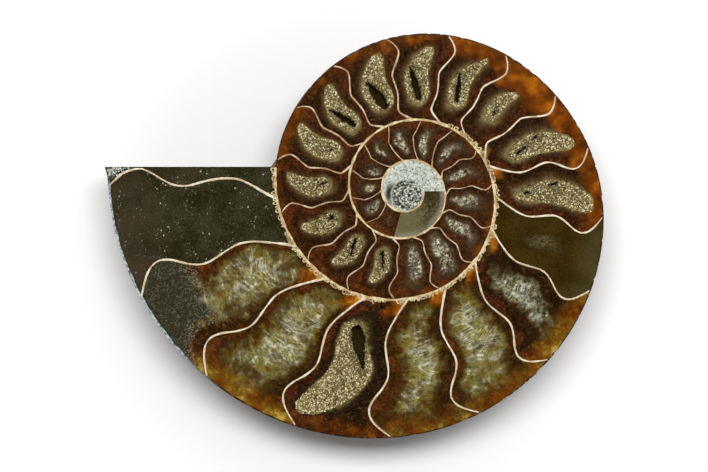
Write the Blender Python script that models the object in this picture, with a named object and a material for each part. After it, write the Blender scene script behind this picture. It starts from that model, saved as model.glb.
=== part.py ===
"""Half of an ammonite fossil, sawn through its middle plane and polished.

The shell is a logarithmic spiral, 110 mm across. It lies on its ribbed flank
with the flat polished face up, and the mouth is a straight saw cut. One solid
is lofted round the coil from the centre to the cut. The open hollows of the
chambers are cut into its face, and each one holds a crust of calcite crystals.

Angles run clockwise as seen from above, from 0 at the -X side of the coil.
A place on the face is an angle and a share of the whorl's height, 0 at the
whorl inside it and 1 at the venter, the shell's outer edge.
"""
import math
import random
from collections import namedtuple

import bmesh
import bpy
from mathutils import Vector

# Driving dimensions, in metres
VENTER_RADIUS = 0.02935          # coil centre to the venter at angle 0
GROWTH_PER_TURN = 2.304          # how much the spiral grows in one turn
HALF_THICKNESS = 0.0135          # polished face to the lowest point of the flank
CUT_Y = 0.0054                   # the saw cut's distance above the coil centre
CENTRE_DEPTH = 0.0022            # thickness left at the bottom of the umbilicus
RIB_HEIGHT = 0.00045             # ribs on the outer flank
GAP = 0.0003                     # clearance between a hollow and its crust
CRYSTAL_HEIGHT = 0.0004          # how far the crystals of a crust stand out

# The coil's grid
TURN = 2.0 * math.pi
COLUMNS_PER_TURN = 96
FIRST_COLUMN = -144              # one and a half turns inside angle 0
CUT_COLUMN = 100                 # the last whorl ends here, on the saw cut
LEVEL_FROM = math.radians(165)   # from here on the flank's crest is level
CUT_BLEND = 16                   # columns over which the grid turns to the cut
INNER_CUT_BLEND = 6              # the same, for the whorl inside that meets the cut
CUT_PASSES = 6                   # rounds of finding the angle at which a row meets the cut
SHARP_ANGLE = math.radians(40)   # edges above it stay sharp

# Wear of the free outer edge: angle in degrees, change of radius as a share
EDGE_WEAR = ((-60, 0.0), (0, -0.012), (45, -0.037), (90, -0.042), (145, -0.050), (180, -0.034),
             (225, -0.026), (270, -0.013), (330, -0.012), (350, -0.017), (362.4, -0.025),
             (364.7, -0.017))

# Flank from venter to umbilical shoulder: share of the venter's radius, share of the depth
FLANK = ((1.000, 0.00), (0.995, 0.16), (0.975, 0.34), (0.940, 0.52), (0.890, 0.69), (0.820, 0.84),
         (0.740, 0.95), (0.650, 1.00), (0.560, 1.00), (0.470, 0.96), (0.410, 0.88))

# Ribs: rise by row, outward and downward share of it, columns over which they fade to the cut
RIB_RISE = (0.0, 0.2, 0.6, 1.0, 1.0, 0.7, 0.3)
RIB_OUTWARD = 0.5
RIB_DOWNWARD = 0.85
RIB_FADE = 4
SHOULDER_ROW = len(FLANK) - 1
WALL_ROWS = 3                    # rows down the umbilical wall
LAST_ROW = SHOULDER_ROW + WALL_ROWS
SEAM_ROW = 7                     # the next whorl's wall meets this row

# Lean of the hollows: share of the whorl's height, degrees forward
HOLLOW_LEAN = ((0.25, 3.0), (0.45, 1.0), (0.60, -0.5), (0.75, 1.0), (0.92, 5.0))
HOLLOW_SIDES = 16
HOLLOW_FULLNESS = 0.75           # 1 makes an ellipse, less makes fuller ends
# Pit section: share of the depth, share of the mouth's size
PIT_SECTION = ((-0.25, 1.10), (0.50, 0.78), (1.00, 0.36))
PIT_BEND = 0.50                  # share of the depth at which the pit's wall bends

# Chipped corner: length along the saw cut, length down the outer edge, depth at the corner
CHIP = (0.0055, 0.0032, 0.0008)
CHIP_CUTTER = 0.016

# Crusts: shares of a hollow's depth, except for the two of its mouth's half width
CRUST_SIDES = 20
CRUST_RIM = 0.06                 # the crust's rim lies this far below the face
CRUST_LEVELS = (0.30, 0.55, 0.80)
CRUST_FLOOR = 0.12               # thickness at the bottom
CRUST_TIP = 0.06                 # the bottom's middle lies this much deeper
CRUST_THICKNESS = 0.34           # of the mouth's half width
CRUST_NARROWEST = 0.05           # of the mouth's half width
WALL_CLEARANCE = 1.25 * GAP      # the pit's walls slope, so more is needed across them
CRYSTAL_RANGE = (0.4, 1.0)       # of the crystals' height

# Open hollows in the face: angle in degrees, inner and outer share of the whorl's height,
# half width and depth in metres
Hollow = namedtuple("Hollow", "angle inner outer half_width depth")
HOLLOWS = (
    Hollow(-71, 0.32, 0.82, 0.0016, 0.0022),
    Hollow(-47, 0.32, 0.82, 0.0016, 0.0022),
    Hollow(-22, 0.36, 0.84, 0.0017, 0.0022),
    Hollow(3, 0.36, 0.88, 0.0019, 0.0030),
    Hollow(27, 0.29, 0.88, 0.0021, 0.0030),
    Hollow(49, 0.29, 0.88, 0.0022, 0.0035),
    Hollow(73, 0.28, 0.89, 0.0028, 0.0045),
    Hollow(95, 0.28, 0.88, 0.0024, 0.0038),
    Hollow(117, 0.35, 0.88, 0.0019, 0.0030),
    Hollow(137, 0.40, 0.78, 0.0015, 0.0022),
    Hollow(158, 0.33, 0.90, 0.0025, 0.0036),
    Hollow(179, 0.28, 0.91, 0.0029, 0.0036),
    Hollow(288, 0.28, 0.91, 0.0046, 0.0060),
)

STONE_RED_BROWN = (0.16, 0.055, 0.018)
STONE_ROUGHNESS = 0.25
CRYSTAL_CREAM = (0.58, 0.50, 0.28)
CRYSTAL_ROUGHNESS = 0.45


def clear_scene():
    """Remove the objects of the default scene."""
    for old in list(bpy.data.objects):
        bpy.data.objects.remove(old, do_unlink=True)


def make_material(name, colour, roughness):
    """A Principled material of one colour."""
    material = bpy.data.materials.new(name)
    material.use_nodes = True
    shader = material.node_tree.nodes["Principled BSDF"]
    shader.inputs["Base Color"].default_value = (*colour, 1.0)
    shader.inputs["Roughness"].default_value = roughness
    shader.inputs["Metallic"].default_value = 0.0
    return material


def curve_through(points, x):
    """Value at x of a smooth curve through (x, y) points in rising order of x."""
    if x <= points[0][0]:
        return points[0][1]
    if x >= points[-1][0]:
        return points[-1][1]
    i = max(n for n, point in enumerate(points) if point[0] <= x)
    x0, y0 = points[i]
    x1, y1 = points[i + 1]
    before = points[max(i - 1, 0)]
    after = points[min(i + 2, len(points) - 1)]
    slope0 = (y1 - before[1]) / (x1 - before[0])
    slope1 = (after[1] - y0) / (after[0] - x0)
    span = x1 - x0
    u = (x - x0) / span
    return ((2 * u ** 3 - 3 * u ** 2 + 1) * y0 + (u ** 3 - 2 * u ** 2 + u) * span * slope0
            + (3 * u ** 2 - 2 * u ** 3) * y1 + (u ** 3 - u ** 2) * span * slope1)


def venter_radius(angle):
    """Coil centre to the outer edge of the shell at an angle."""
    wear = curve_through(EDGE_WEAR, math.degrees(angle))
    return VENTER_RADIUS * GROWTH_PER_TURN ** (angle / TURN) * (1.0 + wear)


def flank_depth(angle):
    """Polished face to the crest of the flank: it grows with the coil, then runs level."""
    return HALF_THICKNESS * min(1.0, venter_radius(angle) / venter_radius(LEVEL_FROM))


def section_point(angle, row):
    """Radius and height of one row of the half-section at an angle."""
    if row <= SHOULDER_ROW:
        share, depth = FLANK[row]
        return venter_radius(angle) * share, HALF_THICKNESS - flank_depth(angle) * depth
    top_radius, top_height = section_point(angle, SHOULDER_ROW)
    seam_radius, seam_height = section_point(angle - TURN, SEAM_ROW)
    way = 0.5 * math.pi * (row - SHOULDER_ROW) / WALL_ROWS
    radius = top_radius + (seam_radius - top_radius) * math.sin(way)
    height = top_height + (seam_height - top_height) * (1.0 - math.cos(way))
    return radius, height


def on_coil(angle, radius, height):
    """A point at an angle, radius and height, with the coil's axis as Z."""
    return Vector((-math.cos(angle) * radius, math.sin(angle) * radius, height))


def angle_on_cut(row, angle):
    """The angle near the given one at which a row of the section meets the saw cut."""
    turns = round(angle / TURN) * TURN
    for _ in range(CUT_PASSES):
        radius, _height = section_point(angle, row)
        angle = turns + math.asin(CUT_Y / radius)
    return angle


def grid_angle(column, row):
    """Angle of a grid point, turned gradually onto the saw cut near both of its ends."""
    angle = TURN * column / COLUMNS_PER_TURN
    cut_angle = TURN * CUT_COLUMN / COLUMNS_PER_TURN
    inner_cut_column = CUT_COLUMN - COLUMNS_PER_TURN
    outer_share = max(0.0, 1.0 - (CUT_COLUMN - column) / CUT_BLEND)
    if outer_share > 0.0:
        angle += outer_share ** 2 * (angle_on_cut(row, cut_angle) - cut_angle)
    inner_share = max(0.0, 1.0 - abs(column - inner_cut_column) / INNER_CUT_BLEND)
    inner_share *= min(1.0, (LAST_ROW - row) / (LAST_ROW - SEAM_ROW))
    if inner_share > 0.0:
        inner_angle = cut_angle - TURN
        angle += inner_share * (angle_on_cut(min(row, SEAM_ROW), inner_angle) - inner_angle)
    return angle


def rib_push(column, row):
    """How far a rib lifts a grid point off the flank; every second column is a rib."""
    if row >= len(RIB_RISE) or column % 2:
        return 0.0
    from_ends = min(column - (CUT_COLUMN - COLUMNS_PER_TURN), CUT_COLUMN - column)
    return RIB_HEIGHT * RIB_RISE[row] * min(1.0, from_ends / RIB_FADE)


def grid_point(column, row):
    """Place of a grid point of the shell's outside."""
    angle = grid_angle(column, row)
    radius, height = section_point(angle, row)
    push = rib_push(column, row)
    return on_coil(angle, radius + RIB_OUTWARD * push, height - RIB_DOWNWARD * push)


def make_object(name, mesh_builder, material, collection, parent):
    """Wrap a bmesh in an object of its own, child of the coil's empty."""
    mesh = bpy.data.meshes.new(name)
    bmesh.ops.recalc_face_normals(mesh_builder, faces=mesh_builder.faces)
    mesh_builder.to_mesh(mesh)
    mesh_builder.free()
    item = bpy.data.objects.new(name, mesh)
    item.parent = parent
    collection.objects.link(item)
    if material:
        mesh.materials.append(material)
    return item


def loft_shell(material, collection, parent):
    """The fossil's one closed solid: flank, umbilicus, saw cut and polished face."""
    builder = bmesh.new()
    inner_cut_column = CUT_COLUMN - COLUMNS_PER_TURN
    grid = {}

    def vertex(column, row):
        if row == LAST_ROW and column - COLUMNS_PER_TURN >= FIRST_COLUMN:
            return vertex(column - COLUMNS_PER_TURN, SEAM_ROW)
        if (column, row) not in grid:
            grid[column, row] = builder.verts.new(grid_point(column, row))
        return grid[column, row]

    for column in range(FIRST_COLUMN, CUT_COLUMN):
        first_row = 0 if column >= inner_cut_column else SEAM_ROW
        for row in range(first_row, LAST_ROW):
            builder.faces.new((vertex(column, row), vertex(column + 1, row),
                               vertex(column + 1, row + 1), vertex(column, row + 1)))

    venter = [vertex(column, 0) for column in range(inner_cut_column, CUT_COLUMN + 1)]
    builder.faces.new(venter)
    cut_outline = [vertex(CUT_COLUMN, row) for row in range(LAST_ROW + 1)]
    cut_outline += [vertex(inner_cut_column, row) for row in reversed(range(SEAM_ROW))]
    for corner in cut_outline:
        corner.co.y = CUT_Y
    builder.faces.new(cut_outline)

    centre = builder.verts.new((0.0, 0.0, HALF_THICKNESS - CENTRE_DEPTH))
    rim = [vertex(FIRST_COLUMN + n, LAST_ROW) for n in range(COLUMNS_PER_TURN + 1)]
    rim += [vertex(FIRST_COLUMN, row) for row in range(SEAM_ROW + 1, LAST_ROW + 1)]
    for here, there in zip(rim, rim[1:]):
        builder.faces.new((here, there, centre))

    item = make_object("ammonite_half", builder, material, collection, parent)
    item.data.shade_smooth()
    item.data.set_sharp_from_angle(angle=SHARP_ANGLE)
    return item


def face_point(angle, share):
    """Angle and radius of a place on the polished face."""
    outer = venter_radius(angle)
    inner = venter_radius(angle - TURN)
    return angle, inner * (outer / inner) ** share


def hollow_ring(hollow, size, height, sides, narrower=None):
    """A ring of points round a hollow: size scales its length, narrower(n) its width."""
    middle = 0.5 * (hollow.inner + hollow.outer)
    reach = 0.5 * (hollow.outer - hollow.inner)
    ring = []
    for n in range(sides):
        way = TURN * n / sides
        share = middle + reach * size * math.cos(way)
        across = math.copysign(abs(math.sin(way)) ** HOLLOW_FULLNESS, math.sin(way))
        angle = math.radians(hollow.angle + curve_through(HOLLOW_LEAN, share))
        angle, radius = face_point(angle, share)
        width = hollow.half_width * size
        if narrower:
            width = max(CRUST_NARROWEST * hollow.half_width, width - narrower(n))
        ring.append(on_coil(angle + width * across / radius, radius, height))
    return ring


def loft_rings(builder, rings):
    """Side faces between successive rings of as many points, with no end caps."""
    loops = [[builder.verts.new(point) for point in ring] for ring in rings]
    for lower, upper in zip(loops, loops[1:]):
        for n in range(len(lower)):
            after = (n + 1) % len(lower)
            builder.faces.new((lower[n], lower[after], upper[after], upper[n]))
    return loops


def cut_hollow(number, hollow, collection, parent):
    """Cutter for one open hollow: a tapering pit, open at the polished face."""
    builder = bmesh.new()
    rings = []
    for level, size in PIT_SECTION:
        rings.append(hollow_ring(hollow, size, HALF_THICKNESS - level * hollow.depth, HOLLOW_SIDES))
    loops = loft_rings(builder, rings)
    builder.faces.new(loops[0])
    builder.faces.new(loops[-1])
    cutter = make_object("cut_hollow_%02d" % number, builder, None, collection, parent)
    cutter.hide_render = True
    cutter.display_type = "WIRE"


def pit_size(level):
    """Size of the pit at a share of its depth, as a share of its mouth."""
    (level0, size0), (level1, size1), (level2, size2) = PIT_SECTION
    if level < level1:
        return size0 + (size1 - size0) * (level - level0) / (level1 - level0)
    return size1 + (size2 - size1) * (level - level1) / (level2 - level1)


def line_hollow(number, hollow, material, collection, parent):
    """Crust of crystals in one hollow: a thin boat with pointed facets inside."""
    chance = random.Random(number)
    builder = bmesh.new()
    bottom = 1.0 - GAP / hollow.depth
    clearance = WALL_CLEARANCE / hollow.half_width
    thickness = CRUST_THICKNESS * hollow.half_width

    def height(level):
        return HALF_THICKNESS - level * hollow.depth

    outer = []
    for level in (bottom, PIT_BEND, CRUST_RIM):
        outer.append(hollow_ring(hollow, pit_size(level) - clearance, height(level), CRUST_SIDES))
    inner = []
    for step, level in enumerate((CRUST_RIM,) + CRUST_LEVELS):

        def crystal(n, step=step):
            stands_out = (n + step) % 2
            return thickness + CRYSTAL_HEIGHT * stands_out * chance.uniform(*CRYSTAL_RANGE)

        size = pit_size(level) - clearance
        floor = height(level * (bottom - CRUST_FLOOR))
        inner.append(hollow_ring(hollow, size, floor, CRUST_SIDES, crystal))
    loops = loft_rings(builder, outer + inner)
    builder.faces.new(loops[0])
    lowest = loops[-1]
    middle = sum((corner.co for corner in lowest), Vector()) / len(lowest)
    tip = builder.verts.new(middle - Vector((0.0, 0.0, CRUST_TIP * hollow.depth)))
    for n, corner in enumerate(lowest):
        builder.faces.new((corner, lowest[(n + 1) % len(lowest)], tip))
    make_object("crystal_lining_%02d" % number, builder, material, collection, parent)


def cut_chip(collection, parent):
    """Cutter for the chipped corner, where the saw cut meets the outer edge."""
    along, down, deep = CHIP
    builder = bmesh.new()
    bmesh.ops.create_cube(builder, size=CHIP_CUTTER)
    cutter = make_object("cut_chip", builder, None, collection, parent)
    corner = on_coil(*face_point(angle_on_cut(0, TURN), 1.0), HALF_THICKNESS - deep)
    slope = Vector((-deep / along, deep / down, 1.0)).normalized()
    cutter.rotation_euler = slope.to_track_quat("Z", "X").to_euler()
    cutter.location = corner + 0.5 * CHIP_CUTTER * slope
    cutter.hide_render = True
    cutter.display_type = "WIRE"


def put_origin_under(coil, shell):
    """Move the coil so that the world origin lies at the bottom centre of the shell's box."""
    xs = [corner.co.x for corner in shell.data.vertices]
    ys = [corner.co.y for corner in shell.data.vertices]
    coil.location = (-0.5 * (min(xs) + max(xs)), -0.5 * (min(ys) + max(ys)), 0.0)


def build():
    """Make the fossil, its hollows and their crusts."""
    clear_scene()
    parts = bpy.data.collections.new("ammonite_fossil_half")
    cutters = bpy.data.collections.new("cutters")
    for collection in (parts, cutters):
        bpy.context.scene.collection.children.link(collection)
    coil = bpy.data.objects.new("coil_centre", None)
    parts.objects.link(coil)

    stone = make_material("polished_stone", STONE_RED_BROWN, STONE_ROUGHNESS)
    crystal = make_material("calcite_crystals", CRYSTAL_CREAM, CRYSTAL_ROUGHNESS)
    shell = loft_shell(stone, parts, coil)
    for number, hollow in enumerate(HOLLOWS, start=1):
        cut_hollow(number, hollow, cutters, coil)
        line_hollow(number, hollow, crystal, parts, coil)
    cut_chip(cutters, coil)
    opening = shell.modifiers.new("open_hollows", "BOOLEAN")
    opening.operation = "DIFFERENCE"
    opening.solver = "EXACT"
    opening.operand_type = "COLLECTION"
    opening.collection = cutters
    put_origin_under(coil, shell)


build()
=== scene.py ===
"""Dress a sawn and polished ammonite half: one stone with crystal-lined hollows.

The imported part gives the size, the height of the polished face and the hollows' depths.
Every wall of the fossil follows one logarithmic spiral, so a place on the face is an
angle round the coil, in degrees, and a share of the whorl's height: 0 at the wall inside
the whorl and 1 at its outer edge. Angles run clockwise as seen from above, from the -X
side of the coil, and go below zero in the inner whorls. Sizes are in metres unless a
docstring says otherwise.
"""

import logging
import math
from dataclasses import dataclass, field
from enum import Enum
from functools import cached_property

import bmesh
import bpy
import numpy as np
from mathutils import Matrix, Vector


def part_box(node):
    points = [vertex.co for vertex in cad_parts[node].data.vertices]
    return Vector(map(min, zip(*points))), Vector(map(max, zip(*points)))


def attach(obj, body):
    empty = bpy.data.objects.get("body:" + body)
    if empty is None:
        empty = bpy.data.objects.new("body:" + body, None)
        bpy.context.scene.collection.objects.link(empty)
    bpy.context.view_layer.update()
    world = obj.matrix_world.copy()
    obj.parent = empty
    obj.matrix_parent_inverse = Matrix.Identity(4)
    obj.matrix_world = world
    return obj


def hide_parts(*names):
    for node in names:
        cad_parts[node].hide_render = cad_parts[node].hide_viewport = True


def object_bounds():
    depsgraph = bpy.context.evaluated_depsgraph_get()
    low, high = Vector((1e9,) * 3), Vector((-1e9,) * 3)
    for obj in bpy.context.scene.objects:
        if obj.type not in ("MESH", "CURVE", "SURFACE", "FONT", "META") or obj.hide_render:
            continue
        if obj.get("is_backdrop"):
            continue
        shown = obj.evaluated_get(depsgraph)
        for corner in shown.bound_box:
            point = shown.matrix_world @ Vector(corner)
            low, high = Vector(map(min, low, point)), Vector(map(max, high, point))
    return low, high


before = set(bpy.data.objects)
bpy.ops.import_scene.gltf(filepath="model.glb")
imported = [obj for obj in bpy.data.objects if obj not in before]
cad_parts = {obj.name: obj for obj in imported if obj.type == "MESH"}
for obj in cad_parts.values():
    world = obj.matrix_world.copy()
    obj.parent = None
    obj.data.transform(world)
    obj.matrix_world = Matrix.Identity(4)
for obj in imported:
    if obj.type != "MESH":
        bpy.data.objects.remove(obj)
PACKED_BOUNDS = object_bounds()
LOG = logging.getLogger("ammonite_half")

MM = 0.001
TURN = 360.0
STONE_NODE = "ammonite_half"
LINING_NODE = "crystal_lining_%02d"

Array = np.ndarray
Chance = np.random.Generator
Colour = tuple[float, float, float]
Stops = tuple[tuple[float, int, int, int], ...]
Table = tuple[tuple[float, ...], tuple[float, ...]]


def paint(red: int, green: int, blue: int) -> Colour:
    """Turn a display colour into the linear one that shaders use.

    Args:
        red: display red, 0 to 255.
        green: display green, 0 to 255.
        blue: display blue, 0 to 255.

    Returns:
        Linear red, green and blue, 0 to 1.
    """
    levels = (np.array((red, green, blue)) / 255.0 + 0.055) / 1.055
    return tuple(float(level) for level in levels ** 2.4)


def ease(x: Array | float, low: float, high: float) -> Array:
    """A smooth step from 0 at low to 1 at high; low may be the larger one.

    Args:
        x: where to read the step.
        low: where it leaves 0.
        high: where it reaches 1.

    Returns:
        The step's height at each x.
    """
    u = np.clip((np.asarray(x, float) - low) / (high - low), 0.0, 1.0)
    return u * u * (3 - 2 * u)


def ripple(plan: Array, size: float) -> Array:
    """An uneven pattern of swells over places in plan, from -1 to 1, each about this wide."""
    x, y = plan[..., 0] / size, plan[..., 1] / size
    return (np.sin(x + 1.7 * np.sin(0.6 * y)) + np.sin(1.3 * y + 1.9 * np.sin(0.7 * x))) / 2


# --- The coil ---

@dataclass(frozen=True)
class SmoothCurve:
    """A smooth line through a few chosen points, level beyond its two ends."""

    points: tuple[tuple[float, float], ...]

    @cached_property
    def knots(self) -> tuple[Array, Array, Array]:
        """The points' places, values and slopes."""
        xs, ys = np.array(self.points, float).T
        slopes = np.empty_like(ys)
        slopes[1:-1] = (ys[2:] - ys[:-2]) / (xs[2:] - xs[:-2])
        slopes[[0, -1]] = (ys[[1, -1]] - ys[[0, -2]]) / (xs[[1, -1]] - xs[[0, -2]])
        return xs, ys, slopes

    def at(self, x: Array | float) -> Array:
        """Read the line.

        Args:
            x: one place or many.

        Returns:
            The line's value at each place.
        """
        xs, ys, slopes = self.knots
        x = np.clip(np.asarray(x, float), xs[0], xs[-1])
        i = np.clip(np.searchsorted(xs, x, side="right") - 1, 0, len(xs) - 2)
        span = xs[i + 1] - xs[i]
        u = (x - xs[i]) / span
        rise = u * u * (3 - 2 * u)
        return (ys[i] + rise * (ys[i + 1] - ys[i]) + u * (1 - u) ** 2 * span * slopes[i]
                - u * u * (1 - u) * span * slopes[i + 1])


@dataclass(frozen=True)
class Coil:
    """The logarithmic spiral that the shell's walls follow.

    The outer edge is venter_radius from the centre at angle 0 and growth times as far after
    each turn, less a little wear. The saw cut stands cut_height above the centre, as a share
    of venter_radius. The chip's size is its length, its width and its depth.
    """

    venter_radius: float = 1.0
    centre: tuple[float, float] = (0.0, 0.0)
    top: float = 0.0
    growth: float = 2.304
    cut_height: float = 0.184
    chip_size: tuple[float, float, float] = (5.5 * MM, 3.2 * MM, 0.8 * MM)
    wear: SmoothCurve = SmoothCurve(((-60, 0.0), (0, -0.012), (45, -0.037), (90, -0.042),
                                     (145, -0.050), (180, -0.034), (225, -0.026), (270, -0.013),
                                     (330, -0.012), (350, -0.017), (362.4, -0.025),
                                     (364.7, -0.017)))
    cut_rounds: int = 8
    outline_points: int = 2000

    @classmethod
    def from_frame(cls) -> "Coil":
        """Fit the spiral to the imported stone's box."""
        low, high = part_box(STONE_NODE)
        plain = cls()
        angle = np.linspace(plain.cut_angle(0.0, 0.0), plain.cut_angle(1.0, TURN),
                            plain.outline_points)
        outline = plain.spot(angle, plain.outer(angle))
        start, end = outline.min(axis=0), outline.max(axis=0)
        scale = (high.x - low.x) / (end[0] - start[0])
        middle = (start + end) / 2
        centre = ((low.x + high.x) / 2 - scale * middle[0],
                  (low.y + high.y) / 2 - scale * middle[1])
        return cls(venter_radius=scale, centre=centre, top=high.z)

    def outer(self, angle: Array | float) -> Array:
        """Radius of the whorl's outer edge at an angle."""
        grown = self.growth ** (np.asarray(angle) / TURN)
        return self.venter_radius * grown * (1 + self.wear.at(angle))

    def radius(self, angle: Array | float, share: Array | float) -> Array:
        """Radius at an angle and a share of the whorl's height."""
        inner = self.outer(np.asarray(angle) - TURN)
        return inner * (self.outer(angle) / inner) ** share

    def spot(self, angle: Array | float, radius: Array | float) -> Array:
        """Position in plan of an angle and a radius."""
        turned = np.radians(angle)
        return np.stack((self.centre[0] - np.cos(turned) * radius,
                         self.centre[1] + np.sin(turned) * radius), axis=-1)

    def plan(self, angle: Array | float, share: Array | float) -> Array:
        """Position in plan of an angle and a share."""
        return self.spot(angle, self.radius(angle, share))

    def lift(self, plan: Array, depth: Array | float) -> Array:
        """Places in plan raised to a depth below the face, or below its chipped corner."""
        height = self.top - self.chip(plan) - np.broadcast_to(depth, plan.shape[:-1])
        return np.concatenate((plan, height[..., None]), axis=-1)

    def find(self, plan: Array, near: float) -> tuple[Array, Array]:
        """Angle and share of places in plan.

        Args:
            plan: positions in plan.
            near: an angle on the turn that they lie on.

        Returns:
            The angle and the share of each place.
        """
        off = plan - np.array(self.centre)
        angle = np.degrees(np.arctan2(off[..., 1], -off[..., 0]))
        angle = angle + TURN * np.round((near - angle) / TURN)
        inner = self.outer(angle - TURN)
        reach = np.maximum(np.linalg.norm(off, axis=-1), 1e-6)
        return angle, np.log(reach / inner) / np.log(self.outer(angle) / inner)

    def cut_angle_at(self, radius: Array | float, turn: float) -> Array:
        """Angle at which a circle of a radius meets the saw cut, on its own turn."""
        height = self.cut_height * self.venter_radius
        return turn + np.degrees(np.arcsin(np.clip(height / radius, -1.0, 1.0)))

    def cut_angle(self, share: Array | float, turn: float) -> Array:
        """Angle at which a line along the whorl meets the saw cut, on its own turn.

        Args:
            share: share of the whorl's height, one or many.
            turn: the angle that the turn is counted from, a multiple of a full one.

        Returns:
            The angle for each share.
        """
        angle = np.full(np.shape(share), float(turn))
        for _round in range(self.cut_rounds):
            angle = self.cut_angle_at(self.radius(angle, share), turn)
        return angle

    def chip(self, plan: Array) -> Array:
        """Depth of the mouth's chipped corner below the face.

        Args:
            plan: positions in plan.

        Returns:
            The depth at each place, 0 away from the corner.
        """
        end = self.cut_angle(1.0, TURN)
        off = plan - self.spot(end, self.outer(end))
        along, beside, depth = self.chip_size
        return depth * np.clip(1.0 - off[..., 0] / along + off[..., 1] / beside, 0.0, 1.0)


# --- Mesh building ---

def grid_faces(index: Array) -> Array:
    """Four-sided faces over a grid of point indices."""
    corners = index[:-1, :-1], index[1:, :-1], index[1:, 1:], index[:-1, 1:]
    return np.stack(corners, axis=-1).reshape(-1, 4)


def skirt(upper: Array, lower: Array) -> Array:
    """Four-sided faces between two closed loops of point indices."""
    return np.stack((upper, np.roll(upper, -1), np.roll(lower, -1), lower), axis=-1)


class MeshDraft:
    """Collects closed bodies and turns them into one mesh object."""

    def __init__(self, name: str, values: tuple[str, ...] = ()) -> None:
        """Start an empty draft.

        Args:
            name: the object's name.
            values: names of the numbers that each point carries for the finishes.
        """
        self.name = name
        self.points: list[Array] = []
        self.faces: list[Array] = []
        self.finishes: list[Array] = []
        self.values: dict[str, list[Array]] = {key: [] for key in values}
        self.count = 0

    def add(self, points: Array, faces: list[Array], finish: int = 0,
            **values: Array | float) -> None:
        """Add points and the faces between them.

        Args:
            points: positions.
            faces: blocks of point indices, a row for each face, counted from these points' first.
            finish: which of the object's finishes the faces take.
            **values: the numbers that the points carry, one for all or one for each.
        """
        points = np.asarray(points, float).reshape(-1, 3)
        for block in faces:
            self.faces.append(np.asarray(block) + self.count)
            self.finishes.append(np.full(len(block), finish))
        self.points.append(points)
        for key, store in self.values.items():
            value = np.asarray(values.get(key, 0.0), float)
            if value.size == 1:
                value = np.full(len(points), value)
            store.append(value.reshape(len(points), -1))
        self.count += len(points)

    def add_slab(self, upper: Array, lower: Array, finish: int = 0, closed: bool = False,
                 **values: Array | float) -> None:
        """Add a closed slab between two grids of points.

        Args:
            upper: the top's positions, rows by columns.
            lower: the underside's positions, in the same order.
            finish: which of the object's finishes the slab takes.
            closed: whether the grid's last row joins the first.
            **values: numbers for the top's points; the underside repeats them.
        """
        rows, columns = upper.shape[:2]
        size = rows * columns
        index = np.arange(size).reshape(rows, columns)
        top = grid_faces(np.vstack((index, index[:1])) if closed else index)
        if closed:
            loops = [index[:, 0], index[::-1, -1]]
        else:
            sides = index[0, :-1], index[:-1, -1], index[-1, :0:-1], index[:0:-1, 0]
            loops = [np.concatenate(sides)]
        faces = [top, top[:, ::-1] + size] + [skirt(loop, loop + size) for loop in loops]
        doubled = {}
        for key, value in values.items():
            flat = np.asarray(value, float)
            flat = flat.reshape(size, -1) if flat.size >= size else np.full((size, 1), flat)
            doubled[key] = np.concatenate((flat, flat))
        self.add(np.stack((upper, lower)), faces, finish, **doubled)

    def build(self, finishes: "list[Finish]", slot: str, crease: float = 35.0) -> bpy.types.Object:
        """Make the object.

        Args:
            finishes: the finishes, in the order of the faces' finish numbers.
            slot: the material slot named for the piece; not used.
            crease: angle in degrees above which an edge stays sharp, or 0 for flat faces.

        Returns:
            The new object, riding with the stone.
        """
        mesh = bpy.data.meshes.new(self.name)
        faces = [face for block in self.faces for face in block.tolist()]
        mesh.from_pydata(np.concatenate(self.points).tolist(), [], faces)
        for key, store in self.values.items():
            data = np.concatenate(store).astype(np.float32)
            kind, cell = ("FLOAT_VECTOR", "vector") if data.shape[1] == 3 else ("FLOAT", "value")
            mesh.attributes.new(key, kind, "POINT").data.foreach_set(cell, data.ravel())
        for finish in finishes:
            mesh.materials.append(finish.material)
        mesh.polygons.foreach_set("material_index", np.concatenate(self.finishes))
        turned = bmesh.new()
        turned.from_mesh(mesh)
        bmesh.ops.recalc_face_normals(turned, faces=turned.faces)
        turned.to_mesh(mesh)
        turned.free()
        if crease:
            mesh.shade_smooth()
            mesh.set_sharp_from_angle(angle=math.radians(crease))
        item = bpy.data.objects.new(self.name, mesh)
        bpy.context.scene.collection.objects.link(item)
        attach(item, "root")
        return item


def nearest_on(points: Array, line: Array, block: int = 2000) -> tuple[Array, Array]:
    """Find the nearest point of a finely drawn line.

    Args:
        points: positions in plan, one row each.
        line: positions in plan along the line, one row each.
        block: how many points are worked out at a time.

    Returns:
        The distance from each point, and the nearest position on the line.
    """
    gaps, picks = np.empty(len(points)), np.empty(len(points), int)
    for start in range(0, len(points), block):
        rows = slice(start, start + block)
        apart = ((points[rows, None, :] - line[None, :, :]) ** 2).sum(axis=-1)
        picks[rows] = apart.argmin(axis=1)
        gaps[rows] = np.sqrt(apart.min(axis=1))
    return gaps, line[picks]


# --- Finishes ---

Socket = bpy.types.NodeSocket


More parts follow.
